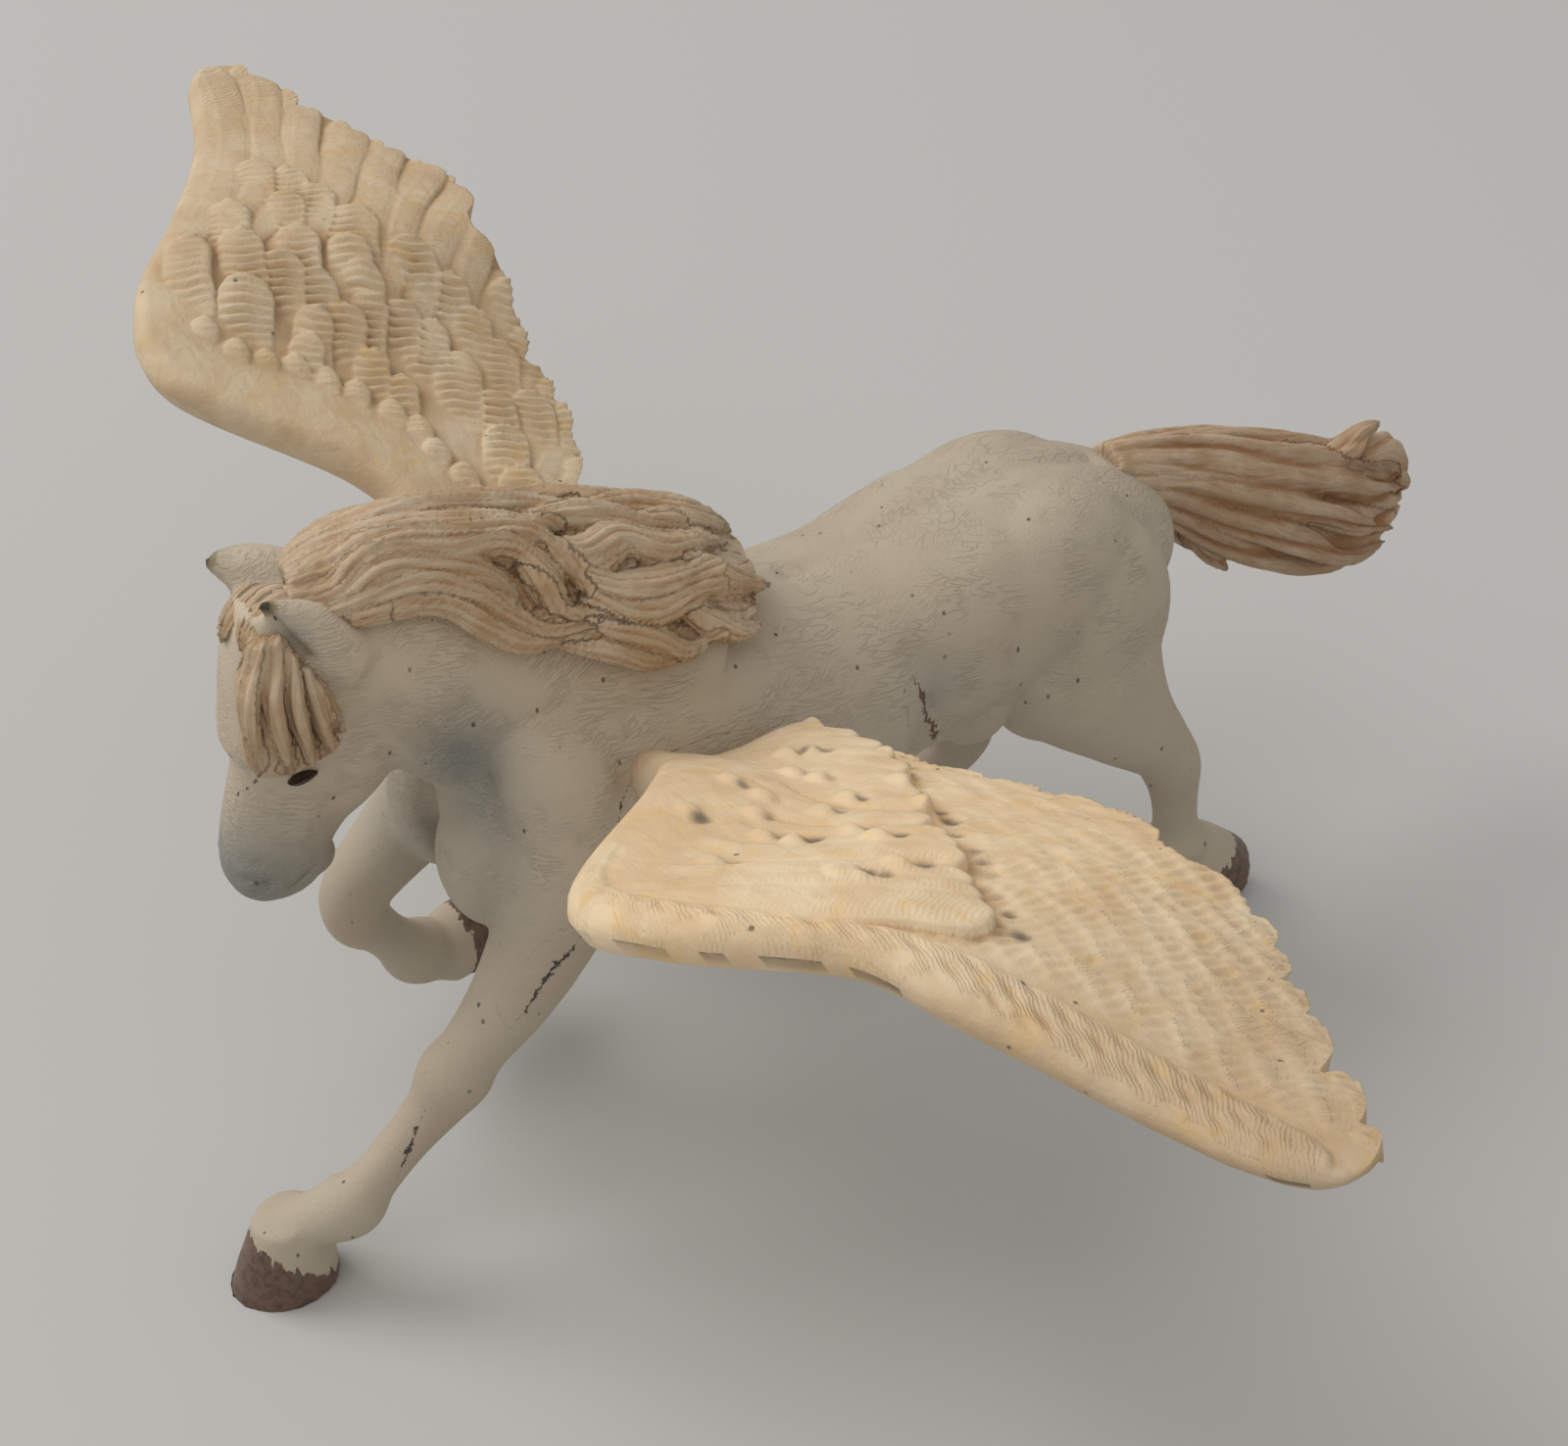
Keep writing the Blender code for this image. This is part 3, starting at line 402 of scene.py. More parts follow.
class Sheet:
    """The node tree of one material."""

    def __init__(self, name: str) -> None:
        """Make a material and find its shader."""
        self.made = bpy.data.materials.new(name)
        self.made.use_nodes = True
        self.tree = self.made.node_tree
        self.shader = self.tree.nodes["Principled BSDF"]

    def node(self, kind: str, settings: dict | None = None, sockets: dict | None = None,
             output: object = 0) -> Wire:
        """Add a node.

        Args:
            kind: The node's type.
            settings: Its settings, set first.
            sockets: Values or wires for its inputs, by name or number.
            output: The output that is returned, by name or number.

        Returns:
            The wrapped output.
        """
        made = self.tree.nodes.new(kind)
        for key, value in (settings or {}).items():
            setattr(made, key, value)
        for key, value in (sockets or {}).items():
            self.connect(made.inputs[key], value)
        return Wire(self, made.outputs[output])

    def connect(self, socket: bpy.types.NodeSocket, value: object) -> None:
        """Link a wire to an input, or set its value."""
        if isinstance(value, Wire):
            self.tree.links.new(value.socket, socket)
        else:
            socket.default_value = value

    def mix(self, mask: object, first: object, second: object, blend: str = "MIX") -> Wire:
        """Mix two colours by a mask."""
        made = self.tree.nodes.new("ShaderNodeMix")
        made.data_type = "RGBA"
        made.blend_type = blend
        self.connect(made.inputs[0], mask)
        for socket, colour in ((made.inputs[6], first), (made.inputs[7], second)):
            self.connect(socket, colour if isinstance(colour, Wire) else (*colour, 1.0))
        return Wire(self, made.outputs[2])

    def stored(self, name: str, output: object = "Fac") -> Wire:
        """Read an attribute that the piece's points hold."""
        return self.node("ShaderNodeAttribute", {"attribute_name": name}, {}, output)

    def split(self, vector: Wire) -> list[Wire]:
        """Return the three parts of a vector."""
        parts = self.tree.nodes.new("ShaderNodeSeparateXYZ")
        self.connect(parts.inputs[0], vector)
        return [Wire(self, output) for output in parts.outputs]

    def place(self, pitch: float = 0.0) -> Wire:
        """Return the object's own coordinates in millimetres, turned about the cross axis in degrees."""
        own = self.node("ShaderNodeTexCoord", output="Object")
        return self.node("ShaderNodeMapping", {}, {"Vector": own, "Scale": (1 / MM,) * 3,
                                                   "Rotation": (0.0, math.radians(pitch), 0.0)})

    def scaled(self, place: Wire, scale: tuple[float, float, float]) -> Wire:
        """Return a place scaled along its three axes."""
        return self.node("ShaderNodeMapping", {}, {"Vector": place, "Scale": scale})

    def scaled_sum(self, first: Wire, scale: tuple[float, float, float], second: object) -> Wire:
        """Return one vector times a scale, plus another vector."""
        return self.node("ShaderNodeVectorMath", {"operation": "MULTIPLY_ADD"},
                         {0: first, 1: scale, 2: second})

    def noise(self, place: Wire, scale: float, detail: float = 2.0, rough: float = 0.5,
              warp: float = 0.0) -> Wire:
        """Return a noise value over a place."""
        return self.node("ShaderNodeTexNoise", {}, {"Vector": place, "Scale": scale, "Detail": detail,
                                                    "Roughness": rough, "Distortion": warp})

    def cells(self, place: Wire, scale: float) -> Wire:
        """Return the distance to the nearest of many scattered points."""
        return self.node("ShaderNodeTexVoronoi", {}, {"Vector": place, "Scale": scale}, "Distance")

    def bump(self, height: Wire, depth_mm: float, under: Wire | None = None) -> Wire:
        """Return the normal of a relief.

        Args:
            height: The relief from 0 to 1.
            depth_mm: Its depth in millimetres.
            under: A normal that it lies on.

        Returns:
            The normal.
        """
        sockets = {"Height": height, "Distance": depth_mm * MM, "Strength": 1.0}
        if under is not None:
            sockets["Normal"] = under
        return self.node("ShaderNodeBump", {}, sockets)

    def finish(self, colour: object, rough: object, normal: Wire | None = None, coat: float = 0.0) -> None:
        """Wire the shader's inputs."""
        self.connect(self.shader.inputs["Base Color"], colour if isinstance(colour, Wire) else (*colour, 1.0))
        self.connect(self.shader.inputs["Roughness"], rough)
        self.shader.inputs["IOR"].default_value = 1.46
        self.shader.inputs["Coat Weight"].default_value = coat
        if normal is not None:
            self.connect(self.shader.inputs["Normal"], normal)


Colour = tuple[float, float, float]


class Finish:
    """A finish that can dress several pieces with one material."""

    made: dict[str, bpy.types.Material] = {}

    def material(self) -> bpy.types.Material:
        """Return the finish's material, made on first use."""
        name = getattr(self, "name")
        if name not in Finish.made:
            sheet = Sheet(name)
            self.dress(sheet)
            Finish.made[name] = sheet.made
        return Finish.made[name]

    def dress(self, sheet: Sheet) -> None:
        """Wire the sheet's shader."""
        raise NotImplementedError


# Wings


@dataclass(frozen=True)
class FeatherKind:
    """How one kind of feather is carved, in millimetres."""

    half_width: float
    crown: float
    lift: float
    ridge: float
    pitch: float
    slant: float
    shaft: float
    rise: float
    broken: float = 0.0


FLIGHT_RIGHT = FeatherKind(2.95, 0.50, 0.25, 0.10, 0.95, 0.25, 0.06, 0.10)
FLIGHT_LEFT = FeatherKind(2.95, 0.20, 0.20, 0.62, 1.60, 0.80, 0.00, 0.10, 0.95)
EDGE_LEFT = FeatherKind(2.95, 0.35, 0.15, 0.45, 2.60, -1.10, 0.00, 0.10, 0.90)
COVERT_RIGHT = FeatherKind(2.7, 0.55, 0.95, 0.85, 1.35, 0.10, 0.00, 0.45)
COVERT_LEFT = FeatherKind(2.6, 0.45, 0.75, 0.05, 1.30, 0.40, 0.00, 0.80)
TUFT = FeatherKind(1.6, 0.55, 0.55, 0.20, 0.95, 0.00, 0.00, 0.50)
UNDER_FLIGHT = FeatherKind(2.95, 0.70, 0.25, 0.10, 1.10, 0.30, 0.08, 0.10)
LONG_KINDS = (FLIGHT_RIGHT, FLIGHT_LEFT, EDGE_LEFT, UNDER_FLIGHT)

# Station and chord of places from root to tip, and share of the kind's width. Station runs 0 at the
# shoulder to 7 at the wing's tip, and chord 0 at the leading edge to 1 at the trailing edge.
FLIGHTS = (
    ((4.30, 0.06), (5.20, 0.13), (6.26, 0.24), (7.02, 0.34), 1.15),
    ((4.60, 0.17), (5.48, 0.34), (6.13, 0.49), (6.90, 1.03), 1.02),
    ((4.30, 0.26), (5.20, 0.44), (5.82, 0.62), (6.48, 1.04), 1.02),
    ((3.90, 0.36), (4.83, 0.52), (5.39, 0.66), (5.97, 1.00), 1.00),
    ((3.30, 0.48), (4.18, 0.62), (5.11, 0.73), (5.67, 0.99), 0.98),
    ((3.10, 0.58), (3.95, 0.70), (4.79, 0.80), (5.38, 1.00), 0.98),
    ((2.90, 0.66), (3.67, 0.77), (4.22, 0.88), (5.11, 1.02), 1.00),
    ((2.60, 0.74), (3.43, 0.84), (3.86, 0.93), (4.68, 1.00), 1.05),
    ((2.30, 0.66), (2.85, 0.82), (3.24, 0.92), (3.58, 1.00), 1.20),
    ((1.90, 0.62), (2.30, 0.78), (2.66, 0.89), (3.09, 1.00), 1.15),
    ((1.50, 0.55), (1.85, 0.70), (2.19, 0.83), (2.55, 0.99), 1.10),
    ((1.10, 0.55), (1.40, 0.70), (1.76, 0.84), (2.12, 0.98), 1.05),
    ((0.70, 0.55), (1.00, 0.72), (1.33, 0.86), (1.58, 0.99), 1.00),
    ((0.30, 0.55), (0.60, 0.72), (0.80, 0.86), (1.05, 0.98), 1.00),
)

# Root station and chord, tip station and chord, and share of the kind's width
RIGHT_COVERTS = (
    (3.29, 0.72, 3.98, 0.76, 1.25), (2.97, 0.78, 3.62, 0.84, 1.05), (2.58, 0.76, 3.31, 0.88, 1.00),
    (2.89, 0.94, 3.54, 1.00, 1.10), (2.30, 0.87, 3.09, 1.01, 0.95), (1.86, 0.89, 2.54, 1.01, 0.95),
    (1.39, 0.93, 2.21, 0.99, 1.10), (0.83, 0.95, 1.59, 1.01, 1.00), (0.40, 0.78, 1.15, 0.99, 1.00),
    (3.60, 0.59, 4.56, 0.61, 1.15), (4.14, 0.47, 5.04, 0.49, 0.95), (4.48, 0.39, 5.32, 0.43, 0.85),
    (4.71, 0.28, 5.50, 0.32, 0.80), (3.12, 0.56, 3.80, 0.61, 1.00), (2.80, 0.60, 3.40, 0.69, 0.90),
    (2.16, 0.73, 2.97, 0.92, 1.00), (1.58, 0.73, 2.39, 0.88, 1.00), (2.46, 0.58, 3.19, 0.75, 1.00),
    (2.08, 0.53, 2.83, 0.77, 1.10), (1.26, 0.55, 2.07, 0.67, 1.00), (0.82, 0.56, 1.55, 0.68, 0.95),
    (4.01, 0.42, 4.97, 0.39, 0.80), (3.55, 0.44, 4.37, 0.45, 0.95), (3.36, 0.56, 4.12, 0.59, 1.00),
    (3.09, 0.43, 3.80, 0.48, 1.05), (2.81, 0.51, 3.50, 0.61, 0.90), (1.64, 0.56, 2.42, 0.76, 0.85),
    (2.73, 0.42, 3.42, 0.54, 1.05), (3.31, 0.37, 4.06, 0.40, 0.95), (2.75, 0.34, 3.42, 0.46, 0.85),
    (2.45, 0.37, 2.95, 0.55, 0.80), (2.26, 0.37, 2.66, 0.54, 0.75), (3.98, 0.27, 4.92, 0.21, 0.85),
    (3.60, 0.30, 4.45, 0.28, 0.95), (3.10, 0.25, 3.86, 0.30, 1.15), (2.68, 0.28, 3.16, 0.41, 0.75),
    (3.55, 0.16, 4.50, 0.13, 0.95),
)
RIGHT_TUFTS = (
    (3.26, 0.15, 3.51, 0.17, 1.0), (3.00, 0.18, 3.22, 0.22, 1.0), (2.89, 0.23, 3.07, 0.27, 1.0),
    (2.78, 0.27, 2.98, 0.33, 1.1), (2.59, 0.28, 2.82, 0.37, 1.0), (2.44, 0.29, 2.67, 0.40, 1.1),
    (2.22, 0.29, 2.45, 0.41, 1.1), (2.04, 0.30, 2.27, 0.41, 1.2), (1.78, 0.28, 2.02, 0.36, 1.2),
    (1.38, 0.34, 1.72, 0.40, 1.2), (1.09, 0.36, 1.42, 0.42, 1.2), (0.86, 0.36, 1.12, 0.44, 1.2),
)

# How far the long feathers are laid past the edge, as a share of the chord
TIP_REACH = 0.04

# The narrow first feather of the left wing, which starts late
LEFT_FIRST = ((2.6, 0.03), (4.2, 0.03), (5.6, 0.06), (6.95, 0.20), 0.85)

# Where the tips of the left wing's coverts stand along the step over the long feathers
LEFT_STEP_TIPS = (
    (4.88, 0.30), (4.66, 0.38), (4.45, 0.45), (4.13, 0.54), (3.95, 0.57), (3.77, 0.59), (3.42, 0.62),
    (3.11, 0.66), (2.88, 0.67), (2.65, 0.66), (2.34, 0.68), (2.03, 0.69), (1.72, 0.76), (1.42, 0.84),
    (1.10, 0.90),
)
# Where the small raised tips stand on the left wing's arm
LEFT_KNOBS = (
    (2.45, 0.19), (2.07, 0.25), (2.33, 0.34), (2.58, 0.34), (1.94, 0.42), (1.47, 0.52), (2.93, 0.36),
    (3.11, 0.40), (2.75, 0.48), (2.63, 0.53), (3.24, 0.49), (3.53, 0.50), (4.04, 0.43), (1.87, 0.73),
    (2.58, 0.65), (3.06, 0.66), (4.09, 0.34), (3.18, 0.25), (4.02, 0.33), (2.13, 0.47), (1.55, 0.57),
    (0.92, 0.98),
)


def reaching(rows: tuple) -> tuple:
    """Return rows of feathers whose tips reach a little past the wing's edge."""
    return tuple((*row[:-2], (row[-2][0], row[-2][1] + TIP_REACH), row[-1]) for row in rows)


def as_lines(rows: tuple) -> tuple:
    """Return rows of root and tip as rows of places and a width."""
    return tuple(((root_at, root_chord), (tip_at, tip_chord), width)
                 for root_at, root_chord, tip_at, tip_chord, width in rows)


class Blade:
    """The curved surface that one wing's feathers lie on, in millimetres."""

    CAMBER = 0.04
    TIP = 7.01
    ROUNDING = 0.30
    NEIGHBOUR = 0.05

    def __init__(self, leading: tuple, trailing: tuple) -> None:
        """Hold the two edges.

        Args:
            leading: Points of the leading edge from shoulder to tip, Y counted outwards.
            trailing: Points of the trailing edge.
        """
        self.leading = pad(leading)
        self.trailing = pad(trailing)

    def point(self, station: np.ndarray, chord: np.ndarray) -> np.ndarray:
        """Return the points at stations and chords."""
        front, back = spline_at(self.leading, station), spline_at(self.trailing, station)
        point = front + (back - front) * np.asarray(chord)[..., None]
        rise = 4 * chord * (1 - np.minimum(chord, 1.0)) * self.CAMBER * np.linalg.norm(back - front, axis=-1)
        point[..., 2] += rise
        return point

    def normal(self, station: np.ndarray, chord: np.ndarray) -> np.ndarray:
        """Return the unit normals that point out of the upper side."""
        step = self.NEIGHBOUR
        along = self.point(station + step, chord) - self.point(station - step, chord)
        back = self.point(station, chord + step) - self.point(station, chord - step)
        normal = np.cross(along, back)
        return normal / np.linalg.norm(normal, axis=-1)[..., None]

    def chord_length(self, station: np.ndarray) -> np.ndarray:
        """Return the distance between the two edges at stations."""
        return np.linalg.norm(spline_at(self.trailing, station) - spline_at(self.leading, station), axis=-1)

    def even_stations(self, start: float, columns: int) -> np.ndarray:
        """Return stations that lie evenly along the middle of the blade."""
        dense = np.linspace(start, self.TIP, 800)
        middle = self.point(dense, np.full_like(dense, 0.5))
        run = np.concatenate([[0.0], np.cumsum(np.linalg.norm(np.diff(middle, axis=0), axis=1))])
        return np.interp(np.linspace(0, run[-1], columns), run, dense)


@dataclass
class Carving:
    """What the carver leaves at each point of a feathered side, as arrays."""

    height: np.ndarray
    run: np.ndarray
    tint: np.ndarray
    long_feather: np.ndarray


class Feathers:
    """The feathers that are carved on one side of a blade."""

    TILT = 0.60
    SHAFT_WIDTH = 0.35
    WOBBLE = 0.16
    BREAK = 2.6
    MARGIN = 1.5

    def __init__(self, blade: Blade, seed: int) -> None:
        """Start an empty side."""
        self.blade = blade
        self.rows: list[tuple[np.ndarray, float, FeatherKind, float]] = []
        self.random = np.random.default_rng(seed)

    def lay(self, table: tuple, kind: FeatherKind, base: float = 0.0) -> None:
        """Lay feathers from a table.

        Args:
            table: Rows of places from root to tip, and last the width share.
            kind: How they are carved.
            base: How far they stand over the blade.
        """
        for *row, width in table:
            places = smooth_curve(row, 16)
            line = self.blade.point(places[:, 0], places[:, 1])
            self.rows.append((line, base, kind, width * kind.half_width))

    def carve(self, points: np.ndarray, normals: np.ndarray) -> Carving:
        """Carve all the feathers.

        Args:
            points: Places on the blade.
            normals: The blade's normals there.

        Returns:
            The relief and its patterns.
        """
        count = len(points)
        made = Carving(np.zeros(count), np.zeros(count), np.full(count, 0.5), np.zeros(count))
        for line, base, kind, half_width in self.rows:
            near = points_near(points, line, half_width + self.MARGIN)
            _, run, offset = nearest_on_line(points[near], line)
            length = line_length(line)
            share = run / length
            directions = np.gradient(line, axis=0)
            place = np.clip(np.round(share * (len(line) - 1)).astype(int), 0, len(line) - 1)
            axis = directions[place] / np.linalg.norm(directions[place], axis=1)[:, None]
            sideways = np.cross(normals[near], axis)
            across = (offset * sideways).sum(axis=1)
            away = np.linalg.norm(offset, axis=1)
            shoulder = max(0.0, 1 - 1.35 * half_width / length)
            round_end = np.sqrt(np.clip(1 - np.clip((share - shoulder) / (1 - shoulder), 0, 1) ** 2.1, 0, 1))
            width = half_width * np.minimum(1.0, 0.72 + 0.9 * share) * round_end
            x = away / np.maximum(width, 0.05)
            inside = (x < 1) & (share > 0.001)
            pillow = np.clip(1 - x**2.2, 0, 1) ** 0.72
            phase = self.random.uniform(0, 6.28)
            reach_along = run - kind.slant * across + self.WOBBLE * (
                np.sin(1.5 * across + phase) + 0.8 * np.sin(0.8 * run + 2 * phase))
            turn = 2 * math.pi * reach_along / kind.pitch + phase
            barbs = 0.5 + 0.5 * np.sin(turn)
            groove = np.floor(turn / (2 * math.pi) - 0.25)
            breaks = np.sin(self.BREAK * across + 2.4 * groove + phase)
            barbs = 1 - (1 - barbs) * (1 - kind.broken * (0.5 + 0.5 * breaks))
            ease = soft_step(0.0, kind.rise, share)
            patch = 0.85 + 0.3 * np.sin(0.37 * points[near, 0] + 1.0) * np.sin(0.29 * points[near, 1])
            height = (ease * (base + kind.lift * share**1.4 + kind.crown * pillow)
                      + self.TILT * kind.crown * across / half_width
                      + kind.ridge * patch * (barbs - 1) * pillow ** (1 - 0.7 * kind.broken) * ease
                      + kind.shaft * np.exp(-(across / self.SHAFT_WIDTH) ** 2) * pillow)
            tint = self.random.random()
            wins = inside & (height > made.height[near])
            chosen = near[wins]
            made.height[chosen] = height[wins]
            made.run[chosen] = reach_along[wins]
            made.tint[chosen] = tint
            made.long_feather[chosen] = 1.0 if kind in LONG_KINDS else 0.0
        return made


def box_blur(grid: np.ndarray, reach: int) -> np.ndarray:
    """Return a grid blurred twice over a square window."""
    for _ in range(2):
        for axis in (0, 1):
            padded = np.concatenate([np.repeat(np.take(grid, [0], axis), reach + 1, axis), grid,
                                     np.repeat(np.take(grid, [-1], axis), reach, axis)], axis)
            total = np.cumsum(padded, axis=axis)
            size = grid.shape[axis]
            high = np.take(total, np.arange(2 * reach + 1, 2 * reach + 1 + size), axis)
            low = np.take(total, np.arange(size), axis)
            grid = (high - low) / (2 * reach + 1)
    return grid


@dataclass
class Wing:
    """One wing: a rounded arm along the leading edge and a thin blade, both covered in carved feathers."""

    name: str
    side: int
    leading: tuple
    trailing: tuple
    columns: int = 425
    top_rows: int = 176
    under_rows: int = 54
    start: float = -0.25
    arm_thickness: float = 6.4
    tip_thickness: float = 2.4
    blade_half: float = 0.62
    root_swell: float = 1.2
    notch: float = 1.6
    wash_depth: float = 0.42
    knob_height: float = 0.60
    pit_depth: float = 0.45

    NOSE = 0.07

    def top_feathers(self, blade: Blade) -> Feathers:
        """Lay the feathers of the upper side."""
        feathers = Feathers(blade, 11 + self.side)
        if self.side < 0:
            feathers.lay(reaching(FLIGHTS), FLIGHT_RIGHT)
            feathers.lay(as_lines(RIGHT_COVERTS), COVERT_RIGHT, 0.15)
            feathers.lay(as_lines(RIGHT_TUFTS), TUFT)
        else:
            feathers.lay((LEFT_FIRST,), EDGE_LEFT, 0.1)
            feathers.lay(reaching(FLIGHTS[1:]), FLIGHT_LEFT)
            step = tuple(((max(at - 1.3, 0.1), max(chord - 0.30, 0.05)), (at, chord), 1.0)
                         for at, chord in LEFT_STEP_TIPS)
            feathers.lay(step, COVERT_LEFT, 0.55)
        return feathers

    def under_feathers(self, blade: Blade) -> Feathers:
        """Lay the feathers of the under side."""
        feathers = Feathers(blade, 31 + self.side)
        feathers.lay(reaching(FLIGHTS), UNDER_FLIGHT)
        lining = tuple(((at - 0.7, chord - 0.16), (at, chord), 1.0)
                       for row, chord in enumerate((0.62, 0.44, 0.27))
                       for at in np.arange(1.0, 5.4 - 0.2 * row, 0.42))
        feathers.lay(lining, COVERT_LEFT, 0.2)
        return feathers

    def outline(self, blade: Blade, stations: np.ndarray) -> tuple[np.ndarray, np.ndarray]:
        """Find where each column begins and ends.

        Args:
            blade: The surface.
            stations: The columns' stations.

        Returns:
            The first and the last chord of each column.
        """
        tips = np.array([row[-2] for row in FLIGHTS[1:]])
        gaps = np.clip(np.abs(np.gradient(tips[:, 0])) / 2, 0.12, 0.40)
        away = np.abs(stations[:, None] - tips[:, 0]) / gaps
        lobes = tips[:, 1] - self.notch / blade.chord_length(tips[:, 0]) * away**2.6
        last = np.maximum(lobes.max(axis=1), np.where(stations > 4.8, 0.82, 0.955))
        if self.side > 0:
            last -= 0.10 * np.exp(-(((stations - 1.9) / 0.7) ** 2))
        past = np.clip((stations - (blade.TIP - blade.ROUNDING)) / blade.ROUNDING, 0, 1)
        closing = np.sqrt(np.clip(1 - past**2, 0, 1))
        first = 0.45 * (1 - closing)
        if self.side > 0:
            first -= 0.09 * soft_step(4.7, 5.4, stations) * (1 - soft_step(6.4, 6.95, stations))
        return first, np.minimum(last, 0.5 + 0.62 * closing)

    def carve_side(self, blade: Blade, feathers: Feathers, rows: int, sign: int) -> tuple[np.ndarray, ...]:
        """Carve one side of the wing.

        Args:
            blade: The surface.
            feathers: What lies on this side.
            rows: How many points a column has.
            sign: 1 for the upper side, -1 for the under side.

        Returns:
            Grids of places, wash, patterns, tint and pits.
        """
        stations = blade.even_stations(self.start, self.columns)
        first, last = self.outline(blade, stations)
        share = np.clip(stations / blade.TIP, 0, 1)
        thick = self.arm_thickness + (self.tip_thickness - self.arm_thickness) * share**1.2
        thick = thick + self.root_swell * np.exp(-((stations / 0.9) ** 2))
        chord_mm = blade.chord_length(stations)[:, None]
        even = np.linspace(0, 1, rows)
        s = even**1.6 * self.NOSE + even * (1 - self.NOSE)
        grid_t = np.repeat(stations[:, None], rows, axis=1)
        grid_c = first[:, None] + (last - first)[:, None] * s[None, :]
        shape = grid_t.shape
        flat_t, flat_c = grid_t.ravel(), grid_c.ravel()
        points, normals = blade.point(flat_t, flat_c), blade.normal(flat_t, flat_c)
        carved = feathers.carve(points, normals)
        carved_height, tint = carved.height.reshape(shape), carved.tint.reshape(shape)
        knobs, pits = (values.reshape(shape) for values in self.knobs(blade, points, sign))
        run_in = (grid_c - first[:, None]) * chord_mm
        radius = 0.5 * thick[:, None]
        from_edge = run_in / np.maximum(radius, 0.1)
        flattening = 1 - soft_step(0.6, 1.0, run_in / (0.5 * chord_mm))
        thinning = 1 - 0.75 * soft_step(0.0, 1.0, run_in / (0.42 * chord_mm))
        body = self.blade_half + (radius - self.blade_half) * flattening * thinning
        nose_round = np.sqrt(np.clip(1 - (1 - np.clip(from_edge, 0, 1)) ** 2, 0, 1))
        end_round = np.sqrt(np.clip((blade.TIP - grid_t) / 0.12 + 0.05, 0, 1))
        relief = 0.35 * box_blur(carved_height, 1) + 0.65 * carved_height
        relief = relief + self.knob_height * knobs - self.pit_depth * pits
        relief = relief * soft_step(0.2, 1.5, from_edge - (0 if sign > 0 else 1))
        height = (np.maximum(body * nose_round, 0.02) + relief) * end_round
        wash = np.clip((box_blur(relief, 5 if sign > 0 else 2) - relief) / self.wash_depth, -1, 1)
        wash = wash * soft_step(0.5, 1.7, from_edge)
        calm = self.calm(tint)
        if sign < 0:
            calm = calm * soft_step(1.6, 2.6, from_edge)
        placed = points.reshape(*shape, 3) + sign * height[..., None] * normals.reshape(*shape, 3)
        placed[..., 1] *= self.side
        patterns = np.stack([carved.run.reshape(shape), calm, carved.long_feather.reshape(shape)], axis=-1)
        return placed, wash, patterns, tint, pits

    def build(self) -> bpy.types.Object:
        """Build the wing.

        Returns:
            The wing's object, in millimetres.
        """
        blade = Blade(self.leading, self.trailing)
        top = self.carve_side(blade, self.top_feathers(blade), self.top_rows, 1)
        under = self.carve_side(blade, self.under_feathers(blade), self.under_rows, -1)
        joined = [np.concatenate([a[:, ::-1], b[:, 1:]], axis=1) for a, b in zip(top, under)]
        if self.side < 0:
            joined = [values[:, ::-1] for values in joined]
        placed, wash, patterns, tint, pits = joined
        piece = shell(self.name, placed)
        write_values(piece, "wash", wash.ravel())
        write_values(piece, "barb", patterns.reshape(-1, 3))
        write_values(piece, "tint", tint.ravel())
        write_values(piece, "pit", pits.ravel())
        return piece

    def knobs(self, blade: Blade, points: np.ndarray, sign: int) -> tuple[np.ndarray, np.ndarray]:
        """Find the raised tips on the arm, and the pits just past them, which the paint darkens as painted
        shadow of the tips.

        Args:
            blade: The surface.
            points: Places on it.
            sign: 1 for the upper side.

        Returns:
            A value from 0 to 1 for each point, for knobs and for pits.
        """
        knobs, pits = np.zeros(len(points)), np.zeros(len(points))
        if sign < 0 or self.side < 0:
            return knobs, pits
        random = np.random.default_rng(5)
        for number, (at, chord) in enumerate(LEFT_KNOBS + LEFT_STEP_TIPS):
            top, pit = blade.point(np.array((at, at + 0.085)), np.array((chord, chord + 0.03)))
            stretched = (points - top) * (1.25, 0.75, 1.0)
            if number < len(LEFT_KNOBS):
                knobs = np.maximum(knobs, np.exp(-(((stretched**2).sum(axis=1) / 1.5) ** 1.6)))
            away = ((points - pit) ** 2).sum(axis=1)
            pits = np.maximum(pits, random.uniform(0.35, 1.0) * np.exp(-away / random.uniform(0.6, 1.5)))
        return knobs, pits

    @staticmethod
    def calm(tint: np.ndarray) -> np.ndarray:
        """Return 0 where two feathers meet and 1 away from there.

        Args:
            tint: A grid of one number for each feather.

        Returns:
            The grid.
        """
        meets = np.zeros(tint.shape, bool)
        for axis in (0, 1):
            jump = np.diff(tint, axis=axis) != 0
            rest = [(0, 0), (0, 0)]
            rest[axis] = (0, 1)
            after = [(0, 0), (0, 0)]
            after[axis] = (1, 0)
            meets |= np.pad(jump, rest) | np.pad(jump, after)
        return np.where(box_blur(meets.astype(float), 1) > 0.01, 0.0, 1.0)


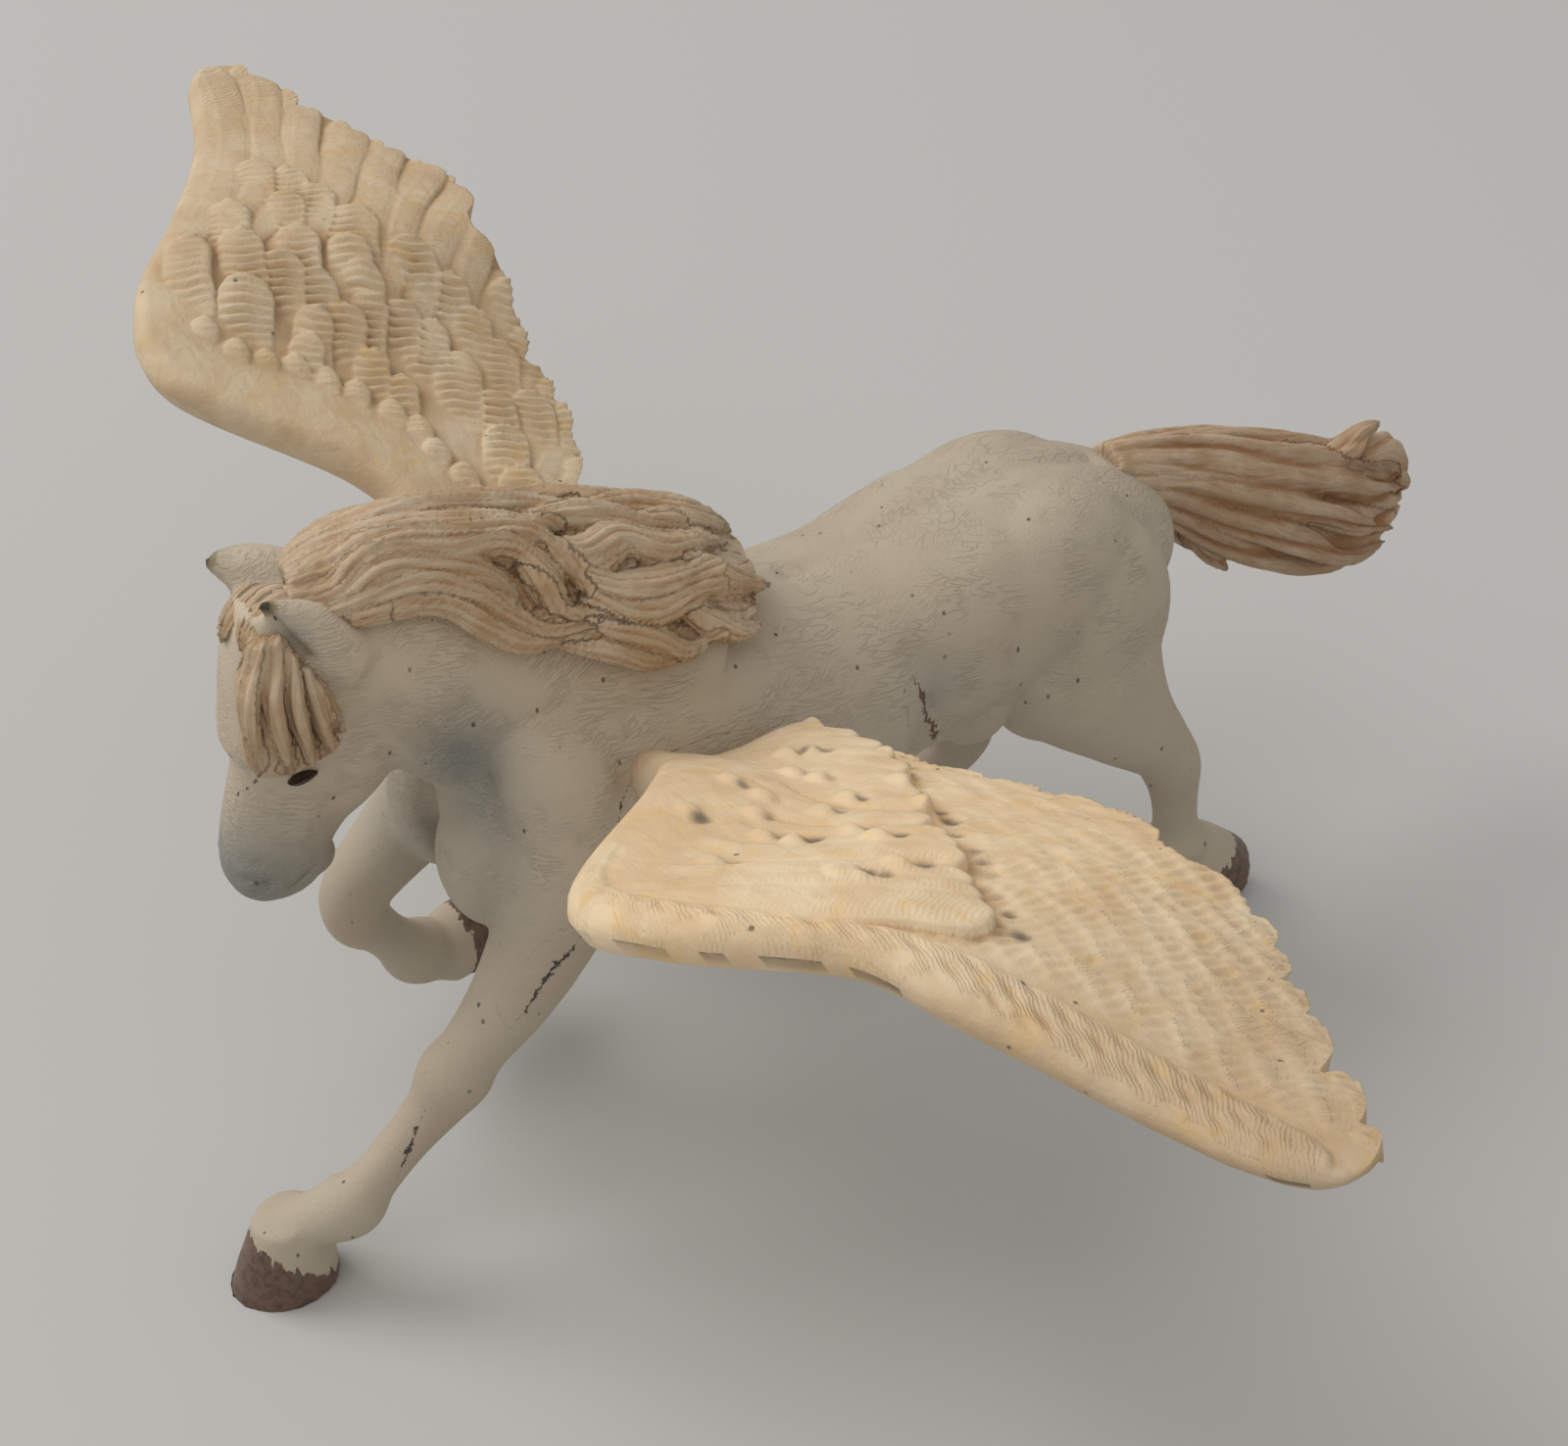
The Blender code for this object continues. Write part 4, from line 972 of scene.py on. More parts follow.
@dataclass(frozen=True)
class FeatherPaint(Finish):
    """Cream paint with a yellow-orange wash that has settled in the hollows, and painted light and shade on
    the left wing.
    """

    name: str = "feather_paint"
    cream: Colour = (0.61, 0.445, 0.275)
    pale: Colour = (0.70, 0.565, 0.39)
    wash: Colour = (0.47, 0.30, 0.145)
    # Dark brown for the deepest recesses
    deepest_recess: Colour = (0.27, 0.165, 0.085)
    yellow: Colour = (0.66, 0.42, 0.13)
    chip: Colour = (0.12, 0.10, 0.08)
    # Painted shadow in the pits just past the knobs on the left wing's arm
    grey: Colour = (0.17, 0.135, 0.10)
    # Painted light: the middle of the left wing is multiplied lighter by this colour
    lift: Colour = (1.26, 1.25, 1.22)
    # Painted shade: the tip of the left wing is multiplied darker by this colour
    fade: Colour = (0.90, 0.88, 0.86)
    barb_pitch: float = 0.55

    def dress(self, sheet: Sheet) -> None:
        """Wire the sheet's shader."""
        place = sheet.place()
        wash = sheet.stored("wash")
        tint = sheet.stored("tint")
        run, calm, is_long = sheet.split(sheet.stored("barb", "Vector"))
        wander = sheet.noise(place, 0.5, 2.0)
        fine = sheet.noise(place, 3.5, 3.0)
        barbs = ((run + wander * 1.4) * (2 * math.pi / self.barb_pitch)).sine() * 0.5 + 0.5
        barbs = barbs * calm * (0.30 + is_long * 0.30)
        cloud = sheet.noise(place, 0.10, 3.0, 0.6)
        drawn = sheet.scaled(place, (1.0, 0.4, 1.0))
        streaks = sheet.noise(drawn, 0.42, 2.0, 0.5, 0.5)
        recess = (wash * 0.95 + fine * 0.3 - 0.12).step(0.0, 0.85)
        pit = (sheet.stored("pit") + fine * 0.3 - 0.15).step(0.15, 0.9)
        base = sheet.mix(cloud.step(0.35, 0.7), self.cream, self.pale)
        base = sheet.mix((tint - 0.5).size() * 0.35, base, self.pale)
        base = sheet.mix(sheet.noise(place, 0.22, 2.0, 0.5, 1.0).step(0.54, 0.70) * 0.34, base, self.yellow)
        base = sheet.mix(streaks.step(0.5, 0.75) * 0.22, base, self.wash)
        base = sheet.mix(barbs * (wash + 0.5).step(0.0, 1.0) * 0.22, base, self.wash)
        base = sheet.mix(recess * 0.8, base, self.wash)
        # The deepest recesses are made dark brown
        base = sheet.mix((wash + fine * 0.3).step(0.75, 1.25) * 0.5, base, self.deepest_recess)
        high = (0.0 - wash).step(0.2, 1.0)
        base = sheet.mix(high * 0.3, base, self.pale)
        _, sideways, _ = sheet.split(place)
        # Painted light over the middle of the left wing
        sunlit = sideways.step(8.0, 40.0) * (1.0 - sideways.step(60.0, 95.0))
        base = sheet.mix(sunlit, base, self.lift, "MULTIPLY")
        # Painted shade towards the tip of the left wing
        base = sheet.mix(sideways.step(85.0, 106.0), base, self.fade, "MULTIPLY")
        # Painted shadow: dark grey in the pits just past the arm's knobs
        base = sheet.mix(pit * 0.9, base, self.grey)
        chips = sheet.cells(place, 0.16).step(0.03, 0.055)
        base = sheet.mix((1.0 - chips) * 0.8, base, self.chip)
        relief = sheet.bump(barbs, 0.10)
        relief = sheet.bump(streaks, 0.26, relief)
        grain = sheet.bump(fine, 0.05, relief)
        sheet.finish(base, 0.58 + fine * 0.12, grain)


LEFT_WING = Wing(
    "left_wing_feathers", 1,
    ((24.0, 14.0, 57.5), (26.9, 23.8, 64.8), (33.8, 32.6, 71.9), (48.9, 46.1, 77.6),
     (47.7, 58.1, 82.7), (33.5, 73.3, 84.3), (23.1, 92.9, 80.9), (19.8, 107.5, 82.8)),
    ((6.0, 14.0, 54.0), (5.6, 22.6, 61.3), (-3.4, 38.5, 63.9), (-4.0, 51.8, 69.6),
     (-2.8, 65.6, 75.4), (-1.8, 77.6, 75.7), (5.3, 93.9, 79.0), (13.4, 108.2, 83.6)),
    wash_depth=0.60,
    notch=2.1,
)
RIGHT_WING = Wing(
    "right_wing_feathers", -1,
    ((24.0, 14.0, 57.5), (28.0, 23.7, 66.5), (32.0, 32.5, 72.0), (46.5, 46.2, 80.1),
     (44.6, 58.4, 83.3), (34.0, 73.5, 83.5), (23.1, 92.3, 81.7), (17.4, 107.6, 84.3)),
    ((6.0, 14.0, 54.0), (8.0, 22.8, 62.5), (1.2, 38.1, 64.0), (0.1, 51.9, 68.2),
     (-2.7, 65.5, 76.0), (-4.4, 77.6, 76.7), (3.7, 93.9, 80.5), (11.7, 108.3, 85.0)),
)


# Skin

# Trunk stations from buttocks to breast: x, top, underside and half width
TRUNK = (
    (-55.0, 57.0, 49.0, 5.3), (-51.2, 62.0, 46.0, 9.6), (-43.6, 66.2, 44.0, 13.3), (-34.1, 68.2, 43.0, 15.2),
    (-23.6, 67.4, 41.0, 15.5), (-14.1, 65.4, 38.0, 15.2), (-2.8, 65.4, 35.5, 15.5), (8.7, 67.2, 35.0, 15.2),
    (19.1, 68.6, 35.5, 15.0), (28.6, 67.0, 37.0, 14.3), (35.7, 62.0, 40.5, 11.8), (40.0, 56.0, 45.0, 6.5),
)
# Neck stations from the withers to the poll: middle, half depth and half width
NECK = (
    (14.83, 0.0, 56.04, 18.0, 12.5), (24.95, -0.34, 61.77, 15.8, 10.8), (34.72, -0.66, 68.09, 13.2, 9.4),
    (43.76, -0.96, 74.0, 10.1, 7.4), (51.0, -1.2, 76.5, 7.0, 6.0),
)
# Head stations down from the poll: share of its length, forward, half depth and half width
HEAD = (
    (-0.02, 2.0, 4.6, 4.6), (0.10, 1.5, 6.8, 6.0), (0.24, 0.8, 8.4, 6.8), (0.38, 0.0, 9.8, 6.9),
    (0.50, -0.3, 10.0, 6.5), (0.61, 1.0, 8.8, 5.5), (0.72, 3.4, 7.0, 4.6), (0.83, 5.2, 6.0, 4.4),
    (0.93, 5.6, 5.6, 4.5), (1.00, 5.4, 4.0, 3.5),
)
HEAD_LENGTH = 36.0
HEAD_TURN = 3.0
POLL_TOP = (51.0, -1.2, 83.5)

# Ears, left and right: base, tip and where the hollow side faces
EARS = (
    ((48.6, 3.2, 76.8), (57.0, 2.7, 86.2), (0.55, 0.75, -0.35)),
    ((50.4, -3.6, 81.2), (58.6, -7.2, 86.4), (0.45, -0.75, 0.45)),
)

# Ear sections from base to tip: share, bend, half depth and half width
EAR_SECTIONS = (
    (0.0, 0.0, 3.6, 3.4), (0.3, 0.4, 3.4, 3.2), (0.55, 0.6, 2.7, 2.6), (0.8, 0.3, 1.6, 1.5),
    (1.0, 0.0, 0.5, 0.5),
)

# Legs: root, height of the coronet, and rows of share of the drop, forward, outward, half depth, half width
LEGS = (
    ((28.6, 10.23, 52.0), 7.0, (
        (0.00, 0.0, 0.0, 8.1, 5.9), (0.20, 4.5, 2.4, 6.4, 5.5), (0.38, 10.0, 3.0, 4.6, 4.6),
        (0.51, 14.9, 2.7, 3.7, 3.6), (0.58, 17.4, 2.5, 4.3, 4.0), (0.66, 20.0, 2.2, 3.2, 3.1),
        (0.74, 23.5, 1.9, 2.7, 2.6), (0.83, 27.6, 1.6, 2.9, 2.7), (0.89, 30.4, 1.2, 4.0, 3.7),
        (0.95, 34.4, -1.2, 2.9, 3.0), (1.00, 37.2, -2.8, 3.9, 3.6))),
    ((28.6, -10.23, 52.0), 13.65, (
        (0.00, 0.0, 0.0, 7.5, 5.5), (0.20, 5.8, 0.4, 6.2, 5.3), (0.34, 12.0, 0.6, 4.6, 4.7),
        (0.46, 16.4, 0.8, 4.1, 3.9), (0.58, 16.6, 1.4, 3.8, 3.7), (0.71, 13.8, 3.0, 2.9, 2.8),
        (0.83, 11.0, 4.6, 3.0, 2.8), (0.925, 8.4, 5.6, 4.1, 3.9), (0.975, 5.4, 6.2, 3.8, 3.6),
        (1.00, 2.8, 6.6, 4.8, 4.1))),
    ((-37.9, 8.53, 51.0), 7.0, (
        (0.00, 1.5, 0.0, 12.2, 7.0), (0.18, -2.2, 1.8, 10.2, 6.4), (0.35, -7.2, 3.4, 6.6, 4.8),
        (0.49, -12.4, 4.6, 4.3, 3.5), (0.58, -14.6, 4.8, 3.9, 3.4), (0.70, -16.0, 4.6, 3.1, 2.8),
        (0.82, -17.2, 4.2, 3.0, 2.8), (0.90, -18.0, 4.1, 4.1, 3.9), (0.96, -19.3, 4.2, 3.4, 3.3),
        (1.00, -20.6, 4.4, 4.8, 4.0))),
    ((-37.9, -8.53, 51.0), 7.0, (
        (0.00, 3.0, 0.0, 11.9, 7.0), (0.22, 8.6, 1.4, 9.9, 6.3), (0.43, 4.8, 1.6, 6.7, 4.8),
        (0.62, 0.2, 1.0, 4.4, 3.5), (0.70, 1.2, 1.0, 3.9, 3.4), (0.80, 6.0, 1.8, 3.1, 2.8),
        (0.90, 11.0, 2.6, 3.0, 2.8), (0.955, 14.0, 3.0, 4.1, 3.9), (0.985, 17.0, 3.2, 3.4, 3.3),
        (1.00, 19.6, 3.4, 4.8, 4.0))),
)
# Each hoof's heading, how far its sole lies from the coronet, and how its brown paint's edge leans to the toe
HOOVES = (
    ((1.0, -0.25, -0.12), 7.5, 0.95), ((-0.25, -0.05, -1.0), 5.95, 0.2),
    ((0.62, 0.1, -0.78), 7.5, 0.6), ((1.0, 0.0, -0.05), 7.5, 0.7),
)

# Hoof rings from top to sole: share of the drop, of the length and of the width, and shift to the toe
HOOF_RINGS = (
    (-0.45, 0.60, 0.68, -0.10), (0.0, 0.76, 0.86, -0.06), (0.5, 0.90, 0.95, 0.02), (1.0, 1.0, 1.0, 0.09),
)

# Muscles as lumps of clay on both sides: middle, half lengths and pitch
MUSCLES = (
    ((-34.1, 5.9, 57.0), (14.0, 8.7, 11.0), 8), ((-38.9, 8.1, 49.0), (12.5, 8.2, 15.0), -14),
    ((27.7, 8.5, 51.0), (9.0, 7.4, 16.0), 20), ((36.7, 5.6, 48.0), (5.5, 6.2, 9.0), 0),
    ((-23.0, 8.6, 47.5), (6.0, 5.6, 8.0), 10),
)


def head_place(share: float, forward: float, left: float) -> np.ndarray:
    """Return a place on the head: share of its length down from the poll, and offsets in millimetres."""
    turn = HEAD_TURN * min(1.0, max(0.0, share + 0.3))
    return np.array((POLL_TOP[0] + forward, left - turn, POLL_TOP[2] - HEAD_LENGTH * share))


def ear_line(ear: tuple) -> np.ndarray:
    """Return the line that an ear's hollow follows, on the side it faces."""
    base, tip, facing = map(np.array, ear)
    places = ((0.45, 3.0), (0.65, 2.4), (0.90, 1.1))
    return smooth_curve([base + share * (tip - base) + out * facing for share, out in places], 12)


@dataclass(frozen=True)
class Stroke:
    """A groove (negative depth) or a ridge that a tool leaves along a line of places."""

    line: tuple
    width: float
    depth: float
    on_head: bool = False

    def lines(self) -> list[np.ndarray]:
        """Return the line on both sides of the horse."""
        made = []
        for side in (1, -1):
            if self.on_head:
                rows = [head_place(share, forward, side * left) for share, forward, left in self.line]
            else:
                rows = [(x, side * y, z) for x, y, z in self.line]
            made.append(smooth_curve(rows, 4 * len(rows)) if len(rows) > 1 else np.array([rows[0], rows[0]]))
        return made


STROKES = (
    # Eye socket, brow, lids and the ridge under the eye
    Stroke(((0.50, 4.2, 6.9),), 2.3, -0.75, True),
    Stroke(((0.455, 6.2, 5.2), (0.44, 4.0, 6.6), (0.46, 1.6, 7.2)), 0.8, 0.55, True),
    Stroke(((0.50, 6.0, 5.6), (0.482, 4.2, 6.6), (0.50, 2.2, 6.9)), 0.35, 0.30, True),
    Stroke(((0.515, 6.0, 5.5), (0.530, 4.2, 6.4), (0.51, 2.2, 6.8)), 0.35, 0.26, True),
    Stroke(((0.56, 3.2, 6.4), (0.66, 3.4, 5.4), (0.76, 4.2, 4.6)), 0.8, 0.35, True),
    # Cheek and jaw
    Stroke(((0.62, -3.6, 5.0), (0.58, -0.6, 6.0), (0.50, 0.2, 6.9)), 0.9, -0.35, True),
    Stroke(((0.24, -7.6, 5.6), (0.36, -9.6, 4.8), (0.50, -9.4, 4.4), (0.62, -6.8, 4.0)), 1.0, 0.30, True),
    # Nostril, its rim, mouth and chin
    Stroke(((0.885, 9.8, 2.7), (0.905, 8.4, 3.6)), 0.75, -1.15, True),
    Stroke(((0.86, 10.2, 2.6), (0.862, 8.2, 4.0), (0.90, 7.0, 4.2), (0.93, 8.4, 3.6)), 0.6, 0.40, True),
    Stroke(((0.985, 9.6, 0.6), (0.965, 8.0, 3.0), (0.93, 4.8, 4.4), (0.895, 2.0, 4.4)), 0.38, -0.60, True),
    Stroke(((0.95, 9.4, 1.8), (0.93, 7.0, 3.8)), 0.9, 0.25, True),
    # Throat, the long groove of the neck and its muscles
    Stroke(((42.5, 5.5, 66.5), (38.0, 8.0, 60.0), (34.5, 9.5, 53.0)), 2.4, -0.70),
    Stroke(((45.0, 6.0, 73.0), (36.0, 9.4, 66.0), (28.0, 12.0, 58.0)), 3.0, 0.45),
    Stroke(((44.0, 5.8, 71.0), (41.0, 7.4, 69.4), (38.5, 7.6, 70.6)), 0.8, -0.30),
    Stroke(((40.6, 0.2, 58.0), (41.2, 0.2, 50.0), (38.0, 0.2, 43.0)), 1.5, -1.10),
    Stroke(((22.0, 13.0, 64.0), (25.0, 13.5, 57.0), (31.0, 12.6, 50.0)), 2.0, -0.45),
    Stroke(((33.6, 12.6, 54.0), (36.5, 11.0, 48.0)), 2.6, 0.50),
    Stroke(((20.5, 15.4, 46.0), (24.5, 15.6, 41.0), (31.0, 15.0, 37.0)), 1.6, -0.70),
    Stroke(((17.0, 15.6, 52.0), (18.0, 15.4, 44.0), (20.0, 13.0, 38.0)), 2.2, -0.50),
    # Ribs and flank
    Stroke(((8.0, 15.8, 56.0), (5.0, 15.6, 45.0), (6.0, 12.0, 38.0)), 1.4, -0.16),
    Stroke(((2.0, 15.8, 56.0), (-1.0, 15.6, 45.0), (0.0, 12.0, 38.0)), 1.4, -0.16),
    Stroke(((-4.0, 15.8, 56.0), (-6.5, 15.4, 46.0), (-6.0, 12.0, 39.0)), 1.4, -0.18),
    Stroke(((-12.0, 14.0, 60.0), (-14.5, 14.8, 54.0), (-13.0, 15.0, 47.0), (-16.0, 13.0, 42.0)), 2.0, -0.85),
    Stroke(((-13.5, 15.0, 53.5), (-15.8, 14.6, 49.0), (-17.0, 13.6, 44.0)), 0.7, -0.35),
    Stroke(((-24.0, 10.5, 67.0),), 3.2, 0.70),
    Stroke(((-4.0, 0.3, 65.6), (-20.0, 0.3, 68.0), (-36.0, 0.3, 69.4), (-46.0, 0.3, 65.5)), 1.5, -0.45),
    # Haunch, stifle and gaskin
    Stroke(((-44.0, 9.0, 66.0), (-50.0, 10.0, 57.0), (-50.5, 11.0, 47.0), (-46.0, 12.0, 39.0)), 1.3, -0.40),
    Stroke(((-26.0, 14.4, 58.0), (-30.0, 15.0, 50.0), (-35.0, 15.0, 43.0)), 2.4, -0.40),
    Stroke(((-52.5, 0.2, 60.0), (-53.0, 0.2, 50.0), (-48.0, 0.2, 44.0)), 1.6, -1.10),
)

# Dark marks of wear on the left side: line of places, and a number for their breadth that turns them
# from black to brown above 1.5
MARKS = (
    (((-12.5, 14.8, 54.6), (-13.1, 15.2, 51.6), (-14.7, 14.4, 47.3)), 2.0),
    (((33.9, 18.0, 42.6), (35.9, 17.9, 41.2), (37.4, 17.7, 39.3), (39.2, 17.0, 36.4)), 1.35),
    (((51.5, 14.2, 22.3), (53.4, 14.5, 18.4)), 1.0),
    (((60.5, 3.6, 79.9), (60.4, 4.2, 77.3), (59.5, 1.7, 71.6), (58.9, 2.2, 68.0), (58.6, 0.6, 64.3),
      (60.0, -1.4, 61.7)), 0.6),
    (((27.0, 15.0, 53.0), (25.4, 14.6, 56.6), (21.0, 14.6, 59.4), (14.0, 15.6, 60.0),
      (6.0, 15.8, 58.6)), 1.0),
    (((22.0, 14.6, 60.6), (15.0, 15.4, 61.6), (9.0, 15.6, 60.8)), 1.0),
)

# Grey-blue airbrush: middle, half lengths and strength
BLUE_SPOTS = (
    ((60.0, -3.0, 51.0), (9.0, 9.0, 7.0), 1.15), ((39.5, 7.0, 63.0), (5.0, 6.0, 8.0), 0.95),
    ((37.0, 8.0, 50.0), (4.0, 7.0, 9.0), 0.55), ((40.0, -6.0, 48.0), (4.0, 7.0, 9.0), 0.55),
    ((-14.5, 14.8, 54.5), (4.0, 4.0, 4.5), 0.45), ((-14.5, -14.8, 54.5), (4.0, 4.0, 4.5), 0.45),
    ((-44.0, 0.0, 44.0), (8.0, 9.0, 6.0), 0.5), ((12.0, 0.0, 35.0), (26.0, 9.0, 3.5), 0.35),
)


@dataclass
class Skin:
    """The horse without its hair: trunk, neck, head, ears, legs and hooves in one modelled skin."""

    grain: float = 0.55
    smoothing: int = 5
    hoof_length: float = 12.5
    hoof_width: float = 10.0
    hoof_reach: float = 14.0
    ear_hollow_width: float = 1.0
    ear_hollow_depth: float = 1.3
    coronets: list = field(default_factory=list)

    def trunk_and_neck(self) -> list[bpy.types.Object]:
        """Loft the trunk and the neck, and add the muscles."""
        trunk = [(x, 0.0, (top + low) / 2, (top - low) / 2, half) for x, top, low, half in TRUNK]
        parts = [loft("trunk", trunk, 60, 48, 2.08), loft("neck", NECK, 40, 36, 2.1)]
        for centre, radii, pitch in MUSCLES:
            for side in (1, -1):
                parts.append(ball("muscle", (centre[0], side * centre[1], centre[2]), radii, pitch))
        return parts

    def head(self) -> list[bpy.types.Object]:
        """Loft the head, and add cheeks, brows, nostrils, chin and ears."""
        rows = [(*head_place(share, forward, 0.0), depth, width) for share, forward, depth, width in HEAD]
        parts = [loft("head", rows, 48, 40, 2.2),
                 ball("chin", head_place(0.95, 2.4, 0.0), (3.2, 2.8, 2.5))]
        for side in (1, -1):
            parts += [
                ball("cheek", head_place(0.46, -3.0, side * 3.1), (6.0, 3.7, 6.9)),
                ball("brow", head_place(0.40, 4.2, side * 5.0), (2.8, 1.8, 2.5)),
                ball("nostril", head_place(0.90, 8.4, side * 2.4), (2.4, 1.8, 2.2)),
            ]
        for base, tip, _ in EARS:
            base, reach, lean = np.array(base), np.array(tip) - base, np.array((-0.5, 0.0, 0.6))
            rows = [(*(base + share * reach + lean * bend), deep, wide)
                    for share, bend, deep, wide in EAR_SECTIONS]
            parts.append(loft("ear", rows, 24, 20))
        return parts

    def hoof(self, coronet: np.ndarray, heading: tuple, drop: float, slope: float) -> bpy.types.Object:
        """Loft a hoof from the coronet to its sole.

        Args:
            coronet: The middle of its top.
            heading: Where its toe points.
            drop: How far its sole lies below the coronet.
            slope: How much the edge of its brown paint leans to the toe.

        Returns:
            The hoof.
        """
        toe = Vector(heading).normalized()
        across = Vector((0.0, 1.0, 0.0))
        across = (across - across.dot(toe) * toe).normalized()
        down = across.cross(toe)
        self.coronets.append((np.array(coronet), np.array((down + slope * toe).normalized())))
        rings = []
        angle = np.linspace(0, 2 * math.pi, 40, endpoint=False)
        for share, length, width, shift in HOOF_RINGS:
            centre = Vector(coronet) + down * (share * drop) + toe * (shift * self.hoof_length)
            rings.append(np.array(centre) + np.outer(np.cos(angle), toe) * length * self.hoof_length / 2
                         + np.outer(np.sin(angle), across) * width * self.hoof_width / 2)
        return shell("hoof", np.array(rings))

    def legs(self) -> list[bpy.types.Object]:
        """Loft the four legs with their hooves."""
        parts = []
        for (root, foot, table), (heading, drop, slope) in zip(LEGS, HOOVES):
            side = math.copysign(1.0, root[1])
            drop_mm = root[2] - foot
            rows = [(root[0] + forward, root[1] + side * outward, root[2] - share * drop_mm, depth, width)
                    for share, forward, outward, depth, width in table]
            parts.append(loft("leg", rows, 60, 28))
            parts.append(self.hoof(np.array(rows[-1][:3]), heading, drop, slope))
        return parts

    def press(self, points: np.ndarray, normals: np.ndarray) -> np.ndarray:
        """Press all the strokes into the skin.

        Args:
            points: The skin's points.
            normals: Its normals.

        Returns:
            The moved points.
        """
        moved = points.copy()
        cuts = [(line, stroke.width, stroke.depth) for stroke in STROKES for line in stroke.lines()]
        cuts += [(ear_line(ear), self.ear_hollow_width, -self.ear_hollow_depth) for ear in EARS]
        for line, width, depth in cuts:
            near = points_near(points, line, 3 * width)
            distance, _, _ = nearest_on_line(points[near], line)
            moved[near] += (depth * np.exp(-(distance / width) ** 2))[:, None] * normals[near]
        return moved

    def paint_maps(self, piece: bpy.types.Object) -> None:
        """Store what the paint follows: hooves, airbrush, hollows, wear marks and the ears.

        Args:
            piece: The modelled skin.
        """
        points, normals = read_points(piece), read_normals(piece)
        hoof = np.full(len(points), -5.0)
        for coronet, down in self.coronets:
            near = np.linalg.norm(points - coronet, axis=1) < self.hoof_reach
            hoof[near] = np.maximum(hoof[near], ((points - coronet) @ down)[near])
        write_values(piece, "hoof", hoof)
        blue = sum(strength * fade(points, centre, radii) for centre, radii, strength in BLUE_SPOTS)
        inner_ear = sum(fade(points, ear_line(ear)[6], (2.2, 1.8, 2.4)) for ear in EARS)
        write_values(piece, "blue", np.clip(blue + 0.9 * inner_ear, 0, 1))
        write_values(piece, "hollow", hollows(piece, 12, 0.35))
        mark = np.zeros((len(points), 3))
        mark[:, 0] = 9.0
        for rows, kind in MARKS:
            line = smooth_curve(rows, 5 * len(rows))
            distance, run, offset = nearest_on_line(points, line)
            axis = (line[-1] - line[0]) / np.linalg.norm(line[-1] - line[0])
            signed = np.sign((offset * np.cross(normals, axis)).sum(axis=1)) * distance
            chosen = distance < np.minimum(np.abs(mark[:, 0]), 3.0)
            mark[chosen] = np.stack([signed, run, np.full(len(run), kind)], axis=1)[chosen]
        write_values(piece, "mark", mark)
        ear = sum(fade(points, tip, (2.0, 2.0, 1.9)) for _, tip, _ in EARS)
        write_values(piece, "ear", np.clip(1.3 * ear, 0, 1))

    def build(self) -> bpy.types.Object:
        """Build the skin.

        Returns:
            The skin's object, in millimetres.
        """
        parts = self.trunk_and_neck() + self.head() + self.legs()
        piece = merge_clay("skin", parts, self.grain, self.smoothing)
        points = self.press(read_points(piece), read_normals(piece))
        points[:, 2] = np.maximum(points[:, 2], 0.0)
        write_points(piece, points)
        self.paint_maps(piece)
        return piece


